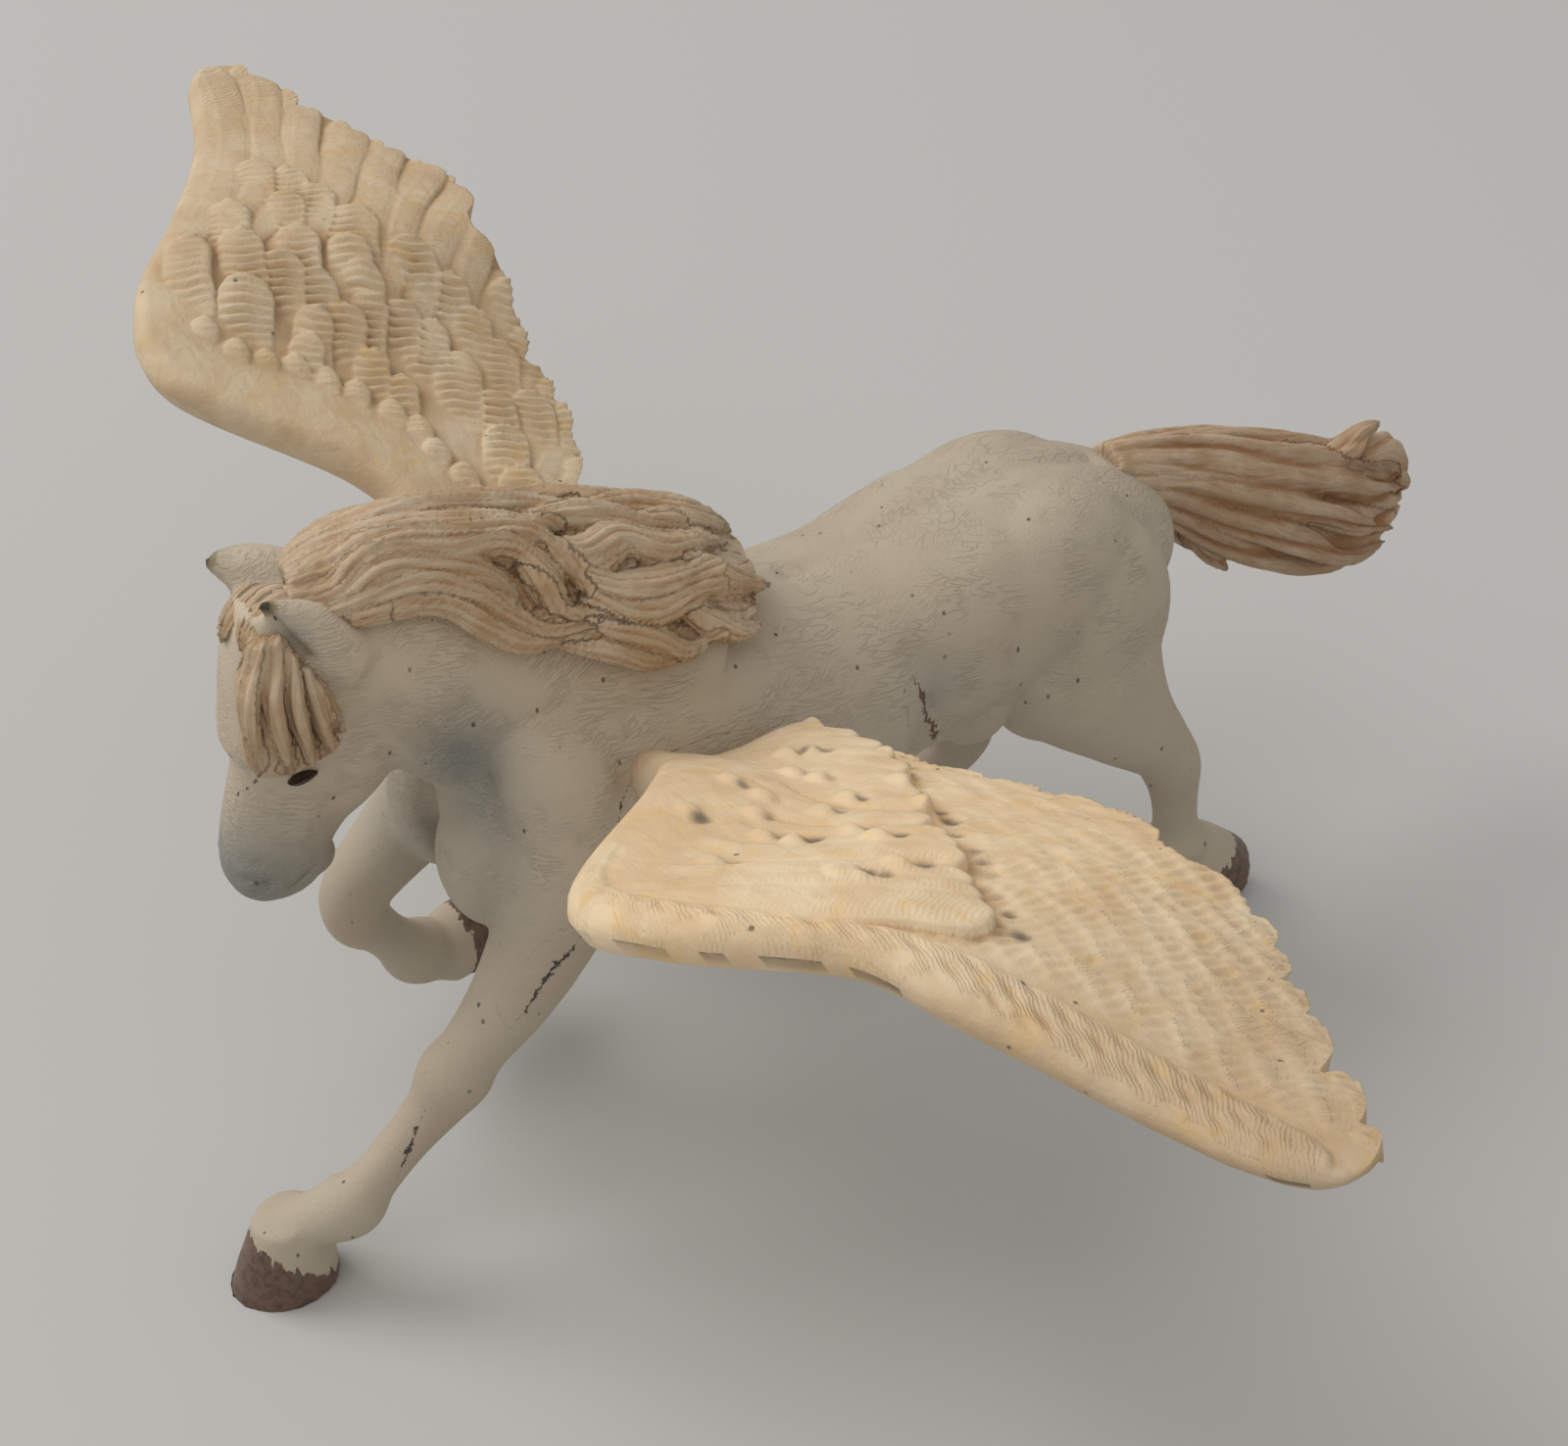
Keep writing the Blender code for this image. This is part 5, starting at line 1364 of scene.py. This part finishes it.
@dataclass(frozen=True)
class SkinPaint(Finish):
    """Warm grey-white paint with engraved hair, airbrushed blue-grey, wear marks and brown hooves, and
    painted light on the upper front.
    """

    name: str = "skin_paint"
    bone: Colour = (0.525, 0.455, 0.35)
    warm: Colour = (0.485, 0.40, 0.305)
    # Painted light: the neck, head and shoulders are multiplied lighter by this colour
    front_painted_light: Colour = (1.17, 1.15, 1.14)
    blue: Colour = (0.20, 0.22, 0.212)
    hollow: Colour = (0.25, 0.205, 0.155)
    dark: Colour = (0.028, 0.023, 0.018)
    rust: Colour = (0.12, 0.05, 0.026)
    horn: Colour = (0.165, 0.094, 0.062)
    horn_dark: Colour = (0.085, 0.053, 0.040)
    olive: Colour = (0.22, 0.18, 0.075)

    def hair(self, sheet: Sheet) -> Wire:
        """Return the relief of short engraved strokes, in patches."""
        bent = sheet.node("ShaderNodeTexNoise", {}, {"Vector": sheet.place(), "Scale": 0.07, "Detail": 1.0},
                          "Color")
        lines = []
        for pitch, scale, first in ((8, 1.0, 0.0), (-24, 1.25, 40.0)):
            moved = sheet.scaled_sum(bent, (0.8, 0.8, 1.8), sheet.place(pitch))
            flat = sheet.scaled_sum(moved, (0.30, 0.55, 2.1), (first, first, first))
            ridge = sheet.noise(flat, 1.15 * scale, 1.0, 0.5, 0.1)
            lines.append((ridge - 0.5).size().step(0.0, 0.075))
        patches = sheet.noise(sheet.place(), 0.16, 2.0, 0.6).step(0.42, 0.62)
        other = sheet.noise(sheet.place(), 0.11, 1.0, 0.5).step(0.45, 0.6)
        first = 1.0 - (1.0 - lines[0]) * patches
        second = 1.0 - (1.0 - lines[1]) * (1.0 - patches) * other
        trunk = sheet.split(sheet.place())[2].step(38.0, 54.0)
        return 1.0 - (1.0 - first * second) * (0.12 + trunk * 0.88)

    def dress(self, sheet: Sheet) -> None:
        """Wire the sheet's shader."""
        place = sheet.place()
        cloud = sheet.noise(place, 0.055, 3.0, 0.55)
        fine = sheet.noise(place, 2.6, 4.0, 0.65)
        grit = sheet.noise(place, 9.0, 2.0)
        hollow = sheet.stored("hollow")
        hair = self.hair(sheet)
        base = sheet.mix(cloud.step(0.25, 0.80), self.bone, self.warm)
        base = sheet.mix((1.0 - hair) * 0.24, base, self.hollow)
        base = sheet.mix((hollow + fine * 0.3 - 0.2).step(0.1, 0.9) * 0.55, base, self.hollow)
        # Painted light: the upper front, with the neck, head and shoulders, is made lighter
        forward, _, high = sheet.split(place)
        base = sheet.mix(forward.step(20.0, 50.0) * high.step(42.0, 56.0), base, self.front_painted_light, "MULTIPLY")
        base = sheet.mix(sheet.stored("blue") * (0.55 + fine * 0.5), base, self.blue)
        tall = sheet.scaled(place, (1.0, 1.0, 0.55))
        specks = sheet.cells(tall, 0.42).step(0.06, 0.12)
        some = sheet.noise(place, 0.3, 1.0).step(0.48, 0.56)
        base = sheet.mix((1.0 - specks) * some * 0.8, base, self.dark)
        across, _, kind = sheet.split(sheet.stored("mark", "Vector"))
        ragged = sheet.noise(place, 1.1, 3.0, 0.7)
        cut = 1.0 - (across.size() - (ragged - 0.47) * 2.4 - (kind - 1.0) * 0.4).step(-0.05, 0.12)
        ink = sheet.mix(kind.step(1.4, 1.6), self.dark, self.rust)
        base = sheet.mix(cut * 0.9, base, ink)
        tips = sheet.stored("ear")
        base = sheet.mix((tips + fine * 0.3 - 0.15).step(0.35, 0.75) * 0.8, base, self.olive)
        base = sheet.mix((tips + fine * 0.3 - 0.15).step(0.75, 1.0) * 0.8, base, self.dark)
        teeth = sheet.scaled(place, (1.0, 1.0, 0.15))
        height = sheet.stored("hoof") + (sheet.noise(teeth, 1.3, 2.0) - 0.5) * 3.4 - 0.6
        horn = height.step(-0.12, 0.12)
        scuffed = sheet.mix(sheet.noise(place, 0.8, 4.0, 0.7).step(0.42, 0.66), self.horn, self.horn_dark)
        base = sheet.mix(horn, base, scuffed)
        relief = sheet.bump(hair, 0.055)
        relief = sheet.bump(fine, 0.10, relief)
        relief = sheet.bump(grit, 0.02, relief)
        sheet.finish(base, 0.62 + fine * 0.12 - horn * 0.32, relief)


@dataclass(frozen=True)
class EyePaint(Finish):
    """Dark brown gloss."""

    name: str = "eye_paint"
    brown: Colour = (0.035, 0.016, 0.010)
    black: Colour = (0.012, 0.008, 0.006)

    def dress(self, sheet: Sheet) -> None:
        """Wire the sheet's shader."""
        wander = sheet.noise(sheet.place(), 1.5, 2.0)
        sheet.finish(sheet.mix(wander * 0.5, self.brown, self.black), 0.22 + wander * 0.1, None, 0.5)


@dataclass(frozen=True)
class HairPaint(Finish):
    """Cream paint on hair, with an orange-brown wash between the strands, and painted shade on the tail."""

    name: str = "hair_paint"
    cream: Colour = (0.52, 0.385, 0.245)
    pale: Colour = (0.63, 0.505, 0.36)
    wash: Colour = (0.41, 0.215, 0.085)
    deep: Colour = (0.23, 0.115, 0.05)
    # Painted shade: the tail is multiplied darker by this colour
    tail_painted_shade: Colour = (0.88, 0.82, 0.80)

    def dress(self, sheet: Sheet) -> None:
        """Wire the sheet's shader."""
        place = sheet.place()
        wash = sheet.stored("wash")
        strand = sheet.scaled(sheet.stored("strand", "Vector"), (2.0, 0.11, 1.0))
        hairs = sheet.noise(strand, 1.7, 3.0, 0.6)
        fine = sheet.noise(place, 3.0, 3.0)
        cloud = sheet.noise(place, 0.12, 3.0, 0.6)
        base = sheet.mix(cloud.step(0.38, 0.66), self.cream, self.pale)
        lines = (1.0 - hairs).step(0.42, 0.66)
        base = sheet.mix(lines * (wash + 0.65).step(0.0, 1.0) * 0.6, base, self.wash)
        base = sheet.mix((wash + fine * 0.25 + lines * 0.2 - 0.16).step(0.0, 0.7) * 0.85, base, self.wash)
        base = sheet.mix(sheet.noise(place, 0.2, 2.0).step(0.52, 0.66) * 0.30, base, self.wash)
        base = sheet.mix((wash + fine * 0.3 - 0.15).step(0.75, 1.2) * 0.30, base, self.deep)
        base = sheet.mix((0.0 - wash).step(0.2, 0.9) * 0.4, base, self.pale)
        # Painted shade: the tail, at the back, is made darker
        forward, _, _ = sheet.split(place)
        base = sheet.mix(1.0 - forward.step(-45.0, -30.0), base, self.tail_painted_shade, "MULTIPLY")
        relief = sheet.bump(hairs, 0.28)
        relief = sheet.bump(fine, 0.05, relief)
        sheet.finish(base, 0.58 + fine * 0.12, relief)


def hollows(piece: bpy.types.Object, rounds: int, depth: float) -> np.ndarray:
    """Measure how hollow the surface is at each point, by smoothing a copy.

    Args:
        piece: The object.
        rounds: How many times the copy is smoothed.
        depth: The hollow, in millimetres, that counts as 1.

    Returns:
        Values from -1 on ridges to 1 in hollows.
    """
    twin = piece.copy()
    twin.data = piece.data.copy()
    bpy.context.scene.collection.objects.link(twin)
    apply_modifier(twin, "SMOOTH", factor=0.5, iterations=rounds)
    rise = ((read_points(twin) - read_points(piece)) * read_normals(piece)).sum(axis=1)
    bpy.data.objects.remove(twin)
    return np.clip(rise / depth, -1, 1)


@dataclass
class Eye:
    """One painted eye."""

    side: int
    radii: tuple[float, float, float] = (1.65, 0.9, 0.40)

    def build(self) -> bpy.types.Object:
        """Build the eye as an almond that lies in its socket."""
        centre = head_place(0.518, 4.0, self.side * 5.75)
        name = "left_eye" if self.side > 0 else "right_eye"
        piece = ball(name, centre, self.radii, 12)
        points = read_points(piece)
        away = np.abs(points[:, 0] - centre[0]) / self.radii[0]
        points[:, 2] = centre[2] + (points[:, 2] - centre[2]) * (1 - 0.55 * away**2)
        write_points(piece, points)
        return piece


# Hair

LOCK_FULLNESS = ((0.0, 0.62), (0.12, 0.82), (0.35, 1.0), (0.6, 0.86), (0.82, 0.56), (0.95, 0.26), (1.0, 0.10))


@dataclass
class Hair:
    """A mass of carved hair: overlapping locks that are melted into one and scored with strands."""

    name: str
    grain: float = 0.33
    smoothing: int = 1
    strands: int = 9
    score: float = 0.16
    hollow_depth: float = 0.55
    margin: float = 3.0
    lines: list = field(default_factory=list)

    def lock(self, points: object, width: float, thickness: float) -> bpy.types.Object:
        """Make one tapered lock along points.

        Args:
            points: Places along the lock.
            width: Its full width.
            thickness: Its full thickness.

        Returns:
            The lock.
        """
        line = smooth_curve(points, 26)
        share = np.linspace(0, 1, len(line))
        full = np.interp(share, *zip(*LOCK_FULLNESS))
        self.lines.append((line, width / 2 * full.max()))
        rows = np.column_stack([line, full * thickness / 2, full * width / 2])
        return loft("lock", rows, 26, 14)

    def finish(self, parts: list[bpy.types.Object], cut: object = None,
               depth: float = 0.0) -> bpy.types.Object:
        """Melt the parts together and score them along their locks.

        Args:
            parts: The locks and what they lie on.
            cut: Gives how deep points lie in the grooves between large locks, from 0 to 1.
            depth: How deep those grooves are.

        Returns:
            The hair's object, in millimetres.
        """
        piece = merge_clay(self.name, parts, self.grain, self.smoothing)
        points, normals = read_points(piece), read_normals(piece)
        best = np.full(len(points), np.inf)
        around, along = np.zeros(len(points)), np.zeros(len(points))
        for number, (line, radius) in enumerate(self.lines):
            near = points_near(points, line, radius + self.margin)
            distance, run, offset = nearest_on_line(points[near], line)
            lengths = np.concatenate([[0.0], np.cumsum(np.linalg.norm(np.diff(line, axis=0), axis=1))])
            place = np.round(np.interp(run, lengths, np.arange(len(line)))).astype(int)
            up, side = section_axes(line)
            angle = np.arctan2((offset * side[place]).sum(axis=1), (offset * up[place]).sum(axis=1))
            closer = distance - radius < best[near]
            chosen = near[closer]
            best[chosen] = (distance - radius)[closer]
            around[chosen] = (angle + 0.12 * np.sin(0.5 * run + number) + number)[closer]
            along[chosen] = run[closer] + 7.0 * number
        groove = np.sin(self.strands * around) + 0.5 * np.sin(2.3 * self.strands * around + 0.2 * along)
        valleys = cut(points) if cut else np.zeros(len(points))
        points += (self.score * groove - depth * valleys)[:, None] * normals
        write_points(piece, points)
        write_values(piece, "wash", np.clip(hollows(piece, 9, self.hollow_depth) + 0.6 * valleys, -1, 1))
        write_values(piece, "strand", np.stack([around, along, np.zeros(len(along))], axis=1))
        return piece


# Share of the neck, fullness and hem angle of the mass that the mane's locks lie on
MANE_MASS = (
    (-0.06, 0.30, 36), (0.00, 0.55, 44), (0.08, 0.72, 50), (0.22, 0.82, 53), (0.40, 0.88, 53),
    (0.56, 0.90, 54), (0.70, 0.86, 42), (0.86, 0.70, 34), (1.00, 0.50, 28), (1.06, 0.25, 20),
)
MANE_FAR_HEM = -42
MANE_RISE = 4.4

# Width of each lock, then its places as share of the neck (0 at the withers to 1 at the poll) and angle
# over the crest, from the long locks over the neck to the curled ends at the withers and the far side
MANE_LOCKS = (
    (4.6, ((1.14, -22), (0.98, -12), (0.82, -2), (0.66, -6), (0.52, -4), (0.38, -4))),
    (4.4, ((1.16, -8), (1.00, -6), (0.86, 6), (0.74, 10), (0.62, 8), (0.52, 12))),
    (4.4, ((1.17, 6), (1.02, 6), (0.86, 10), (0.72, 14), (0.60, 14), (0.52, 22), (0.45, 36))),
    (4.2, ((1.17, 20), (1.04, 18), (0.88, 14), (0.74, 20), (0.64, 18), (0.56, 28), (0.48, 38))),
    (4.0, ((1.12, 28), (1.00, 27), (0.86, 22), (0.74, 27), (0.65, 34), (0.58, 44))),
    (4.0, ((1.04, 35), (0.90, 36), (0.78, 32), (0.70, 38), (0.62, 47), (0.50, 51), (0.40, 46))),
    (3.6, ((0.98, 43), (0.86, 43), (0.75, 39), (0.66, 47), (0.57, 50), (0.48, 47))),
    (3.8, ((0.84, 43), (0.74, 43), (0.67, 50), (0.58, 57), (0.50, 54), (0.42, 49), (0.34, 45))),
    (4.2, ((0.58, 10), (0.46, 4), (0.36, 4), (0.27, 8), (0.17, 8))),
    (4.0, ((0.56, 20), (0.46, 22), (0.36, 15), (0.24, 18), (0.12, 14), (0.02, 12))),
    (3.2, ((0.52, 26), (0.45, 28), (0.38, 23), (0.31, 18))),
    (3.6, ((0.30, 8), (0.18, 4), (0.08, 4), (-0.03, 0))),
    (4.0, ((0.46, 32), (0.36, 35), (0.26, 32), (0.17, 28), (0.10, 24))),
    (4.0, ((0.44, 37), (0.34, 42), (0.24, 40), (0.16, 35), (0.09, 32))),
    (3.2, ((0.16, 20), (0.08, 25), (0.00, 27), (-0.08, 26))),
    (3.0, ((0.17, 28), (0.08, 31), (-0.02, 30))),
    (4.0, ((0.42, 46), (0.32, 48), (0.24, 50), (0.15, 53), (0.07, 48))),
    (3.2, ((0.20, 34), (0.10, 42), (0.00, 44), (-0.06, 40))),
    (3.4, ((0.46, 54), (0.34, 55), (0.22, 57), (0.11, 52))),
    (3.8, ((0.60, 22), (0.55, 34), (0.48, 44), (0.38, 44))),
    (4.4, ((1.10, -34), (0.92, -26), (0.74, -30), (0.58, -24), (0.42, -30))),
    (4.2, ((0.90, -44), (0.72, -42), (0.56, -48), (0.40, -40), (0.26, -42))),
    (4.4, ((0.62, -16), (0.46, -20), (0.32, -14), (0.16, -20), (0.02, -16))),
    (4.2, ((0.48, -34), (0.34, -40), (0.20, -32), (0.06, -34))),
    (4.0, ((0.36, -8), (0.22, -10), (0.08, -6), (-0.06, -10))),
)


def over_neck(share: float, angle: float, lift: float) -> np.ndarray:
    """Return a point over the neck.

    Args:
        share: 0 at the withers to 1 at the poll.
        angle: 0 on the crest to 90 on the left side.
        lift: How far it stands over the skin, in millimetres.

    Returns:
        The point.
    """
    padded = pad(NECK)
    place = share * (len(NECK) - 1)
    row, ahead, behind = (spline_at(padded, np.array([at]))[0] for at in (place, place + 0.05, place - 0.05))
    tangent = (ahead - behind)[:3]
    tangent /= np.linalg.norm(tangent)
    side = np.array((0.0, 1.0, 0.0)) - tangent[1] * tangent
    side /= np.linalg.norm(side)
    turned = math.radians(angle)
    return (row[:3] + math.cos(turned) * (row[3] + lift) * np.cross(tangent, side)
            + math.sin(turned) * (row[4] + lift) * side)


def mane_lift(share: float, angle: float) -> float:
    """Return how far the mane's mass stands over the neck, thinning to its two hems."""
    shares, fullness, hems = zip(*MANE_MASS)
    edge = np.interp(share, shares, hems) if angle > 0 else MANE_FAR_HEM
    inward = min(1.0, abs(angle / edge))
    return float(MANE_RISE * np.interp(share, shares, fullness) * (1 - 0.78 * inward**2))


def build_mane() -> bpy.types.Object:
    """Build the mane."""
    hair = Hair("mane", smoothing=2, hollow_depth=0.42)
    rings = []
    for share, _, hem in MANE_MASS:
        outer = [over_neck(share, angle, mane_lift(share, angle))
                 for angle in np.linspace(MANE_FAR_HEM, hem, 24)]
        inner = [over_neck(share, angle, -1.5) for angle in np.linspace(hem, MANE_FAR_HEM, 12)]
        rings.append(outer + inner)
    parts = [shell("mass", np.array(rings))]
    for width, places in MANE_LOCKS:
        points = [over_neck(share, angle, mane_lift(share, angle) + 0.22 * width) for share, angle in places]
        parts.append(hair.lock(points, width, 0.92 * width))
    return hair.finish(parts)


# Forelock, from between the ears over the left side of the face: middle, half length and half thickness
FORELOCK_MASS = (
    (57.0, 3.2, 82.6, 1.6, 1.5), (56.7, 3.5, 79.0, 3.1, 2.0), (56.1, 3.5, 75.0, 4.4, 2.3),
    (55.3, 3.3, 71.0, 5.3, 2.4), (54.9, 3.1, 68.4, 5.2, 2.2), (54.7, 2.8, 66.7, 4.0, 1.2),
)
# Width of each lock on it, then its places
FORELOCK = (
    (3.6, ((57.0, 2.6, 82.0), (59.4, 3.8, 78.6), (60.0, 4.3, 75.0), (59.8, 4.0, 72.2), (59.3, 3.8, 70.2))),
    (3.8, ((56.0, 3.4, 81.6), (57.7, 5.0, 77.6), (57.8, 5.6, 73.8), (57.4, 5.6, 70.8), (57.2, 5.0, 68.6))),
    (3.8, ((55.0, 4.0, 80.6), (55.8, 5.4, 76.6), (55.6, 5.9, 73.0), (55.1, 5.8, 70.0), (54.8, 5.2, 67.8))),
    (3.6, ((54.0, 4.6, 79.2), (53.8, 5.6, 75.2), (53.4, 5.8, 72.2), (52.9, 5.6, 70.2), (52.6, 5.0, 68.4))),
    (3.2, ((53.2, 5.0, 77.6), (52.3, 5.5, 74.2), (51.6, 5.2, 71.8), (51.0, 4.8, 70.0))),
    (3.2, ((51.0, -0.4, 83.6), (54.5, -0.4, 84.2), (57.4, 0.2, 82.6), (58.8, 1.4, 80.4))),
    (3.0, ((51.4, -2.2, 83.6), (55.2, -2.6, 84.0), (58.2, -2.4, 82.0), (59.6, -1.8, 79.6))),
)


def build_forelock() -> bpy.types.Object:
    """Build the forelock."""
    hair = Hair("forelock", grain=0.28, strands=7, score=0.12, hollow_depth=0.4)
    parts = [loft("forelock_mass", FORELOCK_MASS, 30, 24)]
    for width, places in FORELOCK:
        parts.append(hair.lock(places, 1.2 * width, 0.42 * width))
    return hair.finish(parts)


# Tail stations: run back from the rump, middle height, half depth and half width
TAIL = (
    (0.0, 62.0, 4.6, 3.6), (6.5, 60.0, 5.1, 4.0), (16.5, 54.5, 7.6, 5.2), (26.5, 49.7, 8.6, 6.2),
    (35.0, 45.9, 9.0, 6.5), (42.0, 43.2, 8.2, 6.1), (47.0, 41.9, 6.3, 5.1), (50.0, 41.5, 2.9, 2.7),
)
TAIL_ROOT_X = -47.9
TAIL_GROOVES = 14
TAIL_GROOVE_DEPTH = 0.95
TAIL_LOCKS = 11


def over_tail(run: float, angle: float, lift: float) -> np.ndarray:
    """Return a point over the tail's core: run back in millimetres, angle 0 on top to 90 on the left."""
    stations = np.array(TAIL)
    place = float(np.interp(run, stations[:, 0], np.arange(len(stations))))
    row = spline_at(pad(stations), np.array([place]))[0]
    turned = math.radians(angle)
    return np.array((TAIL_ROOT_X - run, math.sin(turned) * (row[3] + lift),
                     row[1] + math.cos(turned) * (row[2] + lift)))


def tail_grooves(points: np.ndarray) -> np.ndarray:
    """Return how deep each point of the tail lies in the grooves between its long locks, from 0 to 1."""
    stations = np.array(TAIL)
    run = TAIL_ROOT_X - points[:, 0]
    middle, deep, wide = (np.interp(run, stations[:, 0], stations[:, column]) for column in (1, 2, 3))
    angle = np.arctan2(points[:, 1] / wide, (points[:, 2] - middle) / deep)
    share = np.clip(run / stations[-1, 0], 0, 1)
    turned = angle - 0.45 * share**2 + 0.35 * soft_step(0.8, 1.0, share)
    turned = turned + 0.08 * np.sin(6.0 * share + 2.0 * angle)
    valley = (0.5 + 0.5 * np.cos(TAIL_GROOVES * turned)) ** 2.5
    return valley * (0.7 + 0.3 * np.sin(3.0 * angle + 4.0 * share)) * soft_step(0.02, 0.25, share)


def build_tail() -> bpy.types.Object:
    """Build the tail, with the curl at its end and the tuft under it."""
    hair = Hair("tail", strands=6, score=0.08, hollow_depth=0.40)
    core = [(TAIL_ROOT_X - run, 0.0, height, 0.8 * depth, 0.8 * width) for run, height, depth, width in TAIL]
    parts = [loft("core", core, 40, 28)]
    for strand in range(TAIL_LOCKS):
        end = 46.8 + 1.6 * math.sin(2.1 * strand)
        start = 360 * strand / TAIL_LOCKS
        points = [over_tail(0.5 + end * f, start + 30 * f + 10 * math.sin(4.5 * f + strand),
                            -1.3 * (1 - f) - 0.2) for f in np.linspace(0, 1, 8)]
        parts.append(hair.lock(points, 4.5, 4.8))
    curls = (
        (((34, 20, -1.5), (38, 14, 1.0), (41, 8, 3.2), (44.6, 4, 5.6)), 4.4),
        (((41, 14, 0.4), (45, 10, 2.4), (47.6, 6, 2.2), (49.2, 24, 1.0), (49.8, 60, -0.4)), 4.8),
        (((12, 150, -1.0), (17, 160, 0.6), (21, 168, 2.4)), 3.6),
    )
    for places, width in curls:
        parts.append(hair.lock([over_tail(*place) for place in places], width, 0.8 * width))
    return hair.finish(parts, tail_grooves, TAIL_GROOVE_DEPTH)


# Floor, light and camera


@dataclass(frozen=True)
class Studio:
    """The pale floor, the soft light and the camera."""

    floor_colour: Colour = (0.555, 0.555, 0.545)
    camera_place: tuple[float, float, float] = (125.1, 192.3, 231.6)
    camera_right: tuple[float, float, float] = (-0.837, 0.547, 0.016)
    camera_forward: tuple[float, float, float] = (-0.433, -0.645, -0.629)
    lens: float = 60.14
    lamp_colour: Colour = (1.0, 0.985, 0.96)
    room_colour: Colour = (1.0, 0.985, 0.95)
    room_strength: float = 0.45

    def build_floor(self) -> None:
        """Lay the floor."""
        bpy.ops.object.select_all(action="DESELECT")
        bpy.ops.mesh.primitive_plane_add(size=6.0, location=(0.0, 0.0, 0.0))
        floor = bpy.context.active_object
        floor.name = "floor"
        sheet = Sheet("floor_paper")
        place = sheet.place()
        grain = sheet.noise(place, 1.2, 2.0)
        colour = sheet.mix(grain * 0.05, self.floor_colour, (0.5, 0.5, 0.5))
        sheet.finish(colour, 0.75)
        floor.data.materials.append(sheet.made)

    def add_light(self, name: str, place: tuple, size: float, power: float) -> None:
        """Add a square soft light that points at the figurine.

        Args:
            name: Its name.
            place: Where it stands, in metres.
            size: The length of its side.
            power: Its power in watts.
        """
        data = bpy.data.lights.new(name, "AREA")
        data.size = size
        data.energy = power
        data.color = self.lamp_colour
        lamp = bpy.data.objects.new(name, data)
        bpy.context.scene.collection.objects.link(lamp)
        lamp.location = place
        lamp.rotation_euler = (Vector((0.0, 0.0, 0.04)) - Vector(place)).to_track_quat("-Z", "Y").to_euler()

    def build_light(self) -> None:
        """Set the lamps and the world."""
        self.add_light("window", (0.90, -1.15, 1.50), 1.15, 18.0)
        self.add_light("ceiling", (0.8, 0.3, 1.7), 1.6, 7.0)
        world = bpy.data.worlds.new("room")
        world.use_nodes = True
        background = world.node_tree.nodes["Background"]
        background.inputs["Color"].default_value = (*self.room_colour, 1.0)
        background.inputs["Strength"].default_value = self.room_strength
        bpy.context.scene.world = world

    def build_camera(self) -> None:
        """Set the camera where the photograph was taken from."""
        forward = Vector(self.camera_forward).normalized()
        right = Vector(self.camera_right)
        right = (right - right.dot(forward) * forward).normalized()
        up = right.cross(forward)
        data = bpy.data.cameras.new("camera")
        data.sensor_width = 36.0
        data.lens = self.lens
        data.clip_start = 0.01
        camera = bpy.data.objects.new("camera", data)
        bpy.context.scene.collection.objects.link(camera)
        place = (Vector(self.camera_place) + Vector(SCULPT_SHIFT)) * MM
        camera.matrix_world = Matrix((
            (right.x, up.x, -forward.x, place.x), (right.y, up.y, -forward.y, place.y),
            (right.z, up.z, -forward.z, place.z), (0.0, 0.0, 0.0, 1.0)))
        bpy.context.scene.camera = camera

    def build(self) -> None:
        """Build the whole studio."""
        self.build_camera()
        self.build_floor()
        self.build_light()
        bpy.context.scene.view_settings.view_transform = "Standard"


def main() -> None:
    """Build the studio and the figurine's pieces in order."""
    logging.basicConfig(level=logging.INFO)
    Studio().build()
    feathers = FeatherPaint()
    place_in_frame(LEFT_WING.build(), Node.LEFT_WING, feathers)
    place_in_frame(RIGHT_WING.build(), Node.RIGHT_WING, feathers)
    place_in_frame(Skin().build(), Node.BODY, SkinPaint())
    for side in (1, -1):
        place_in_frame(Eye(side).build(), Node.BODY, EyePaint())
    hair = HairPaint()
    place_in_frame(build_mane(), Node.BODY, hair)
    place_in_frame(build_forelock(), Node.BODY, hair)
    place_in_frame(build_tail(), Node.TAIL, hair)


if __name__ == "__main__":
    main()
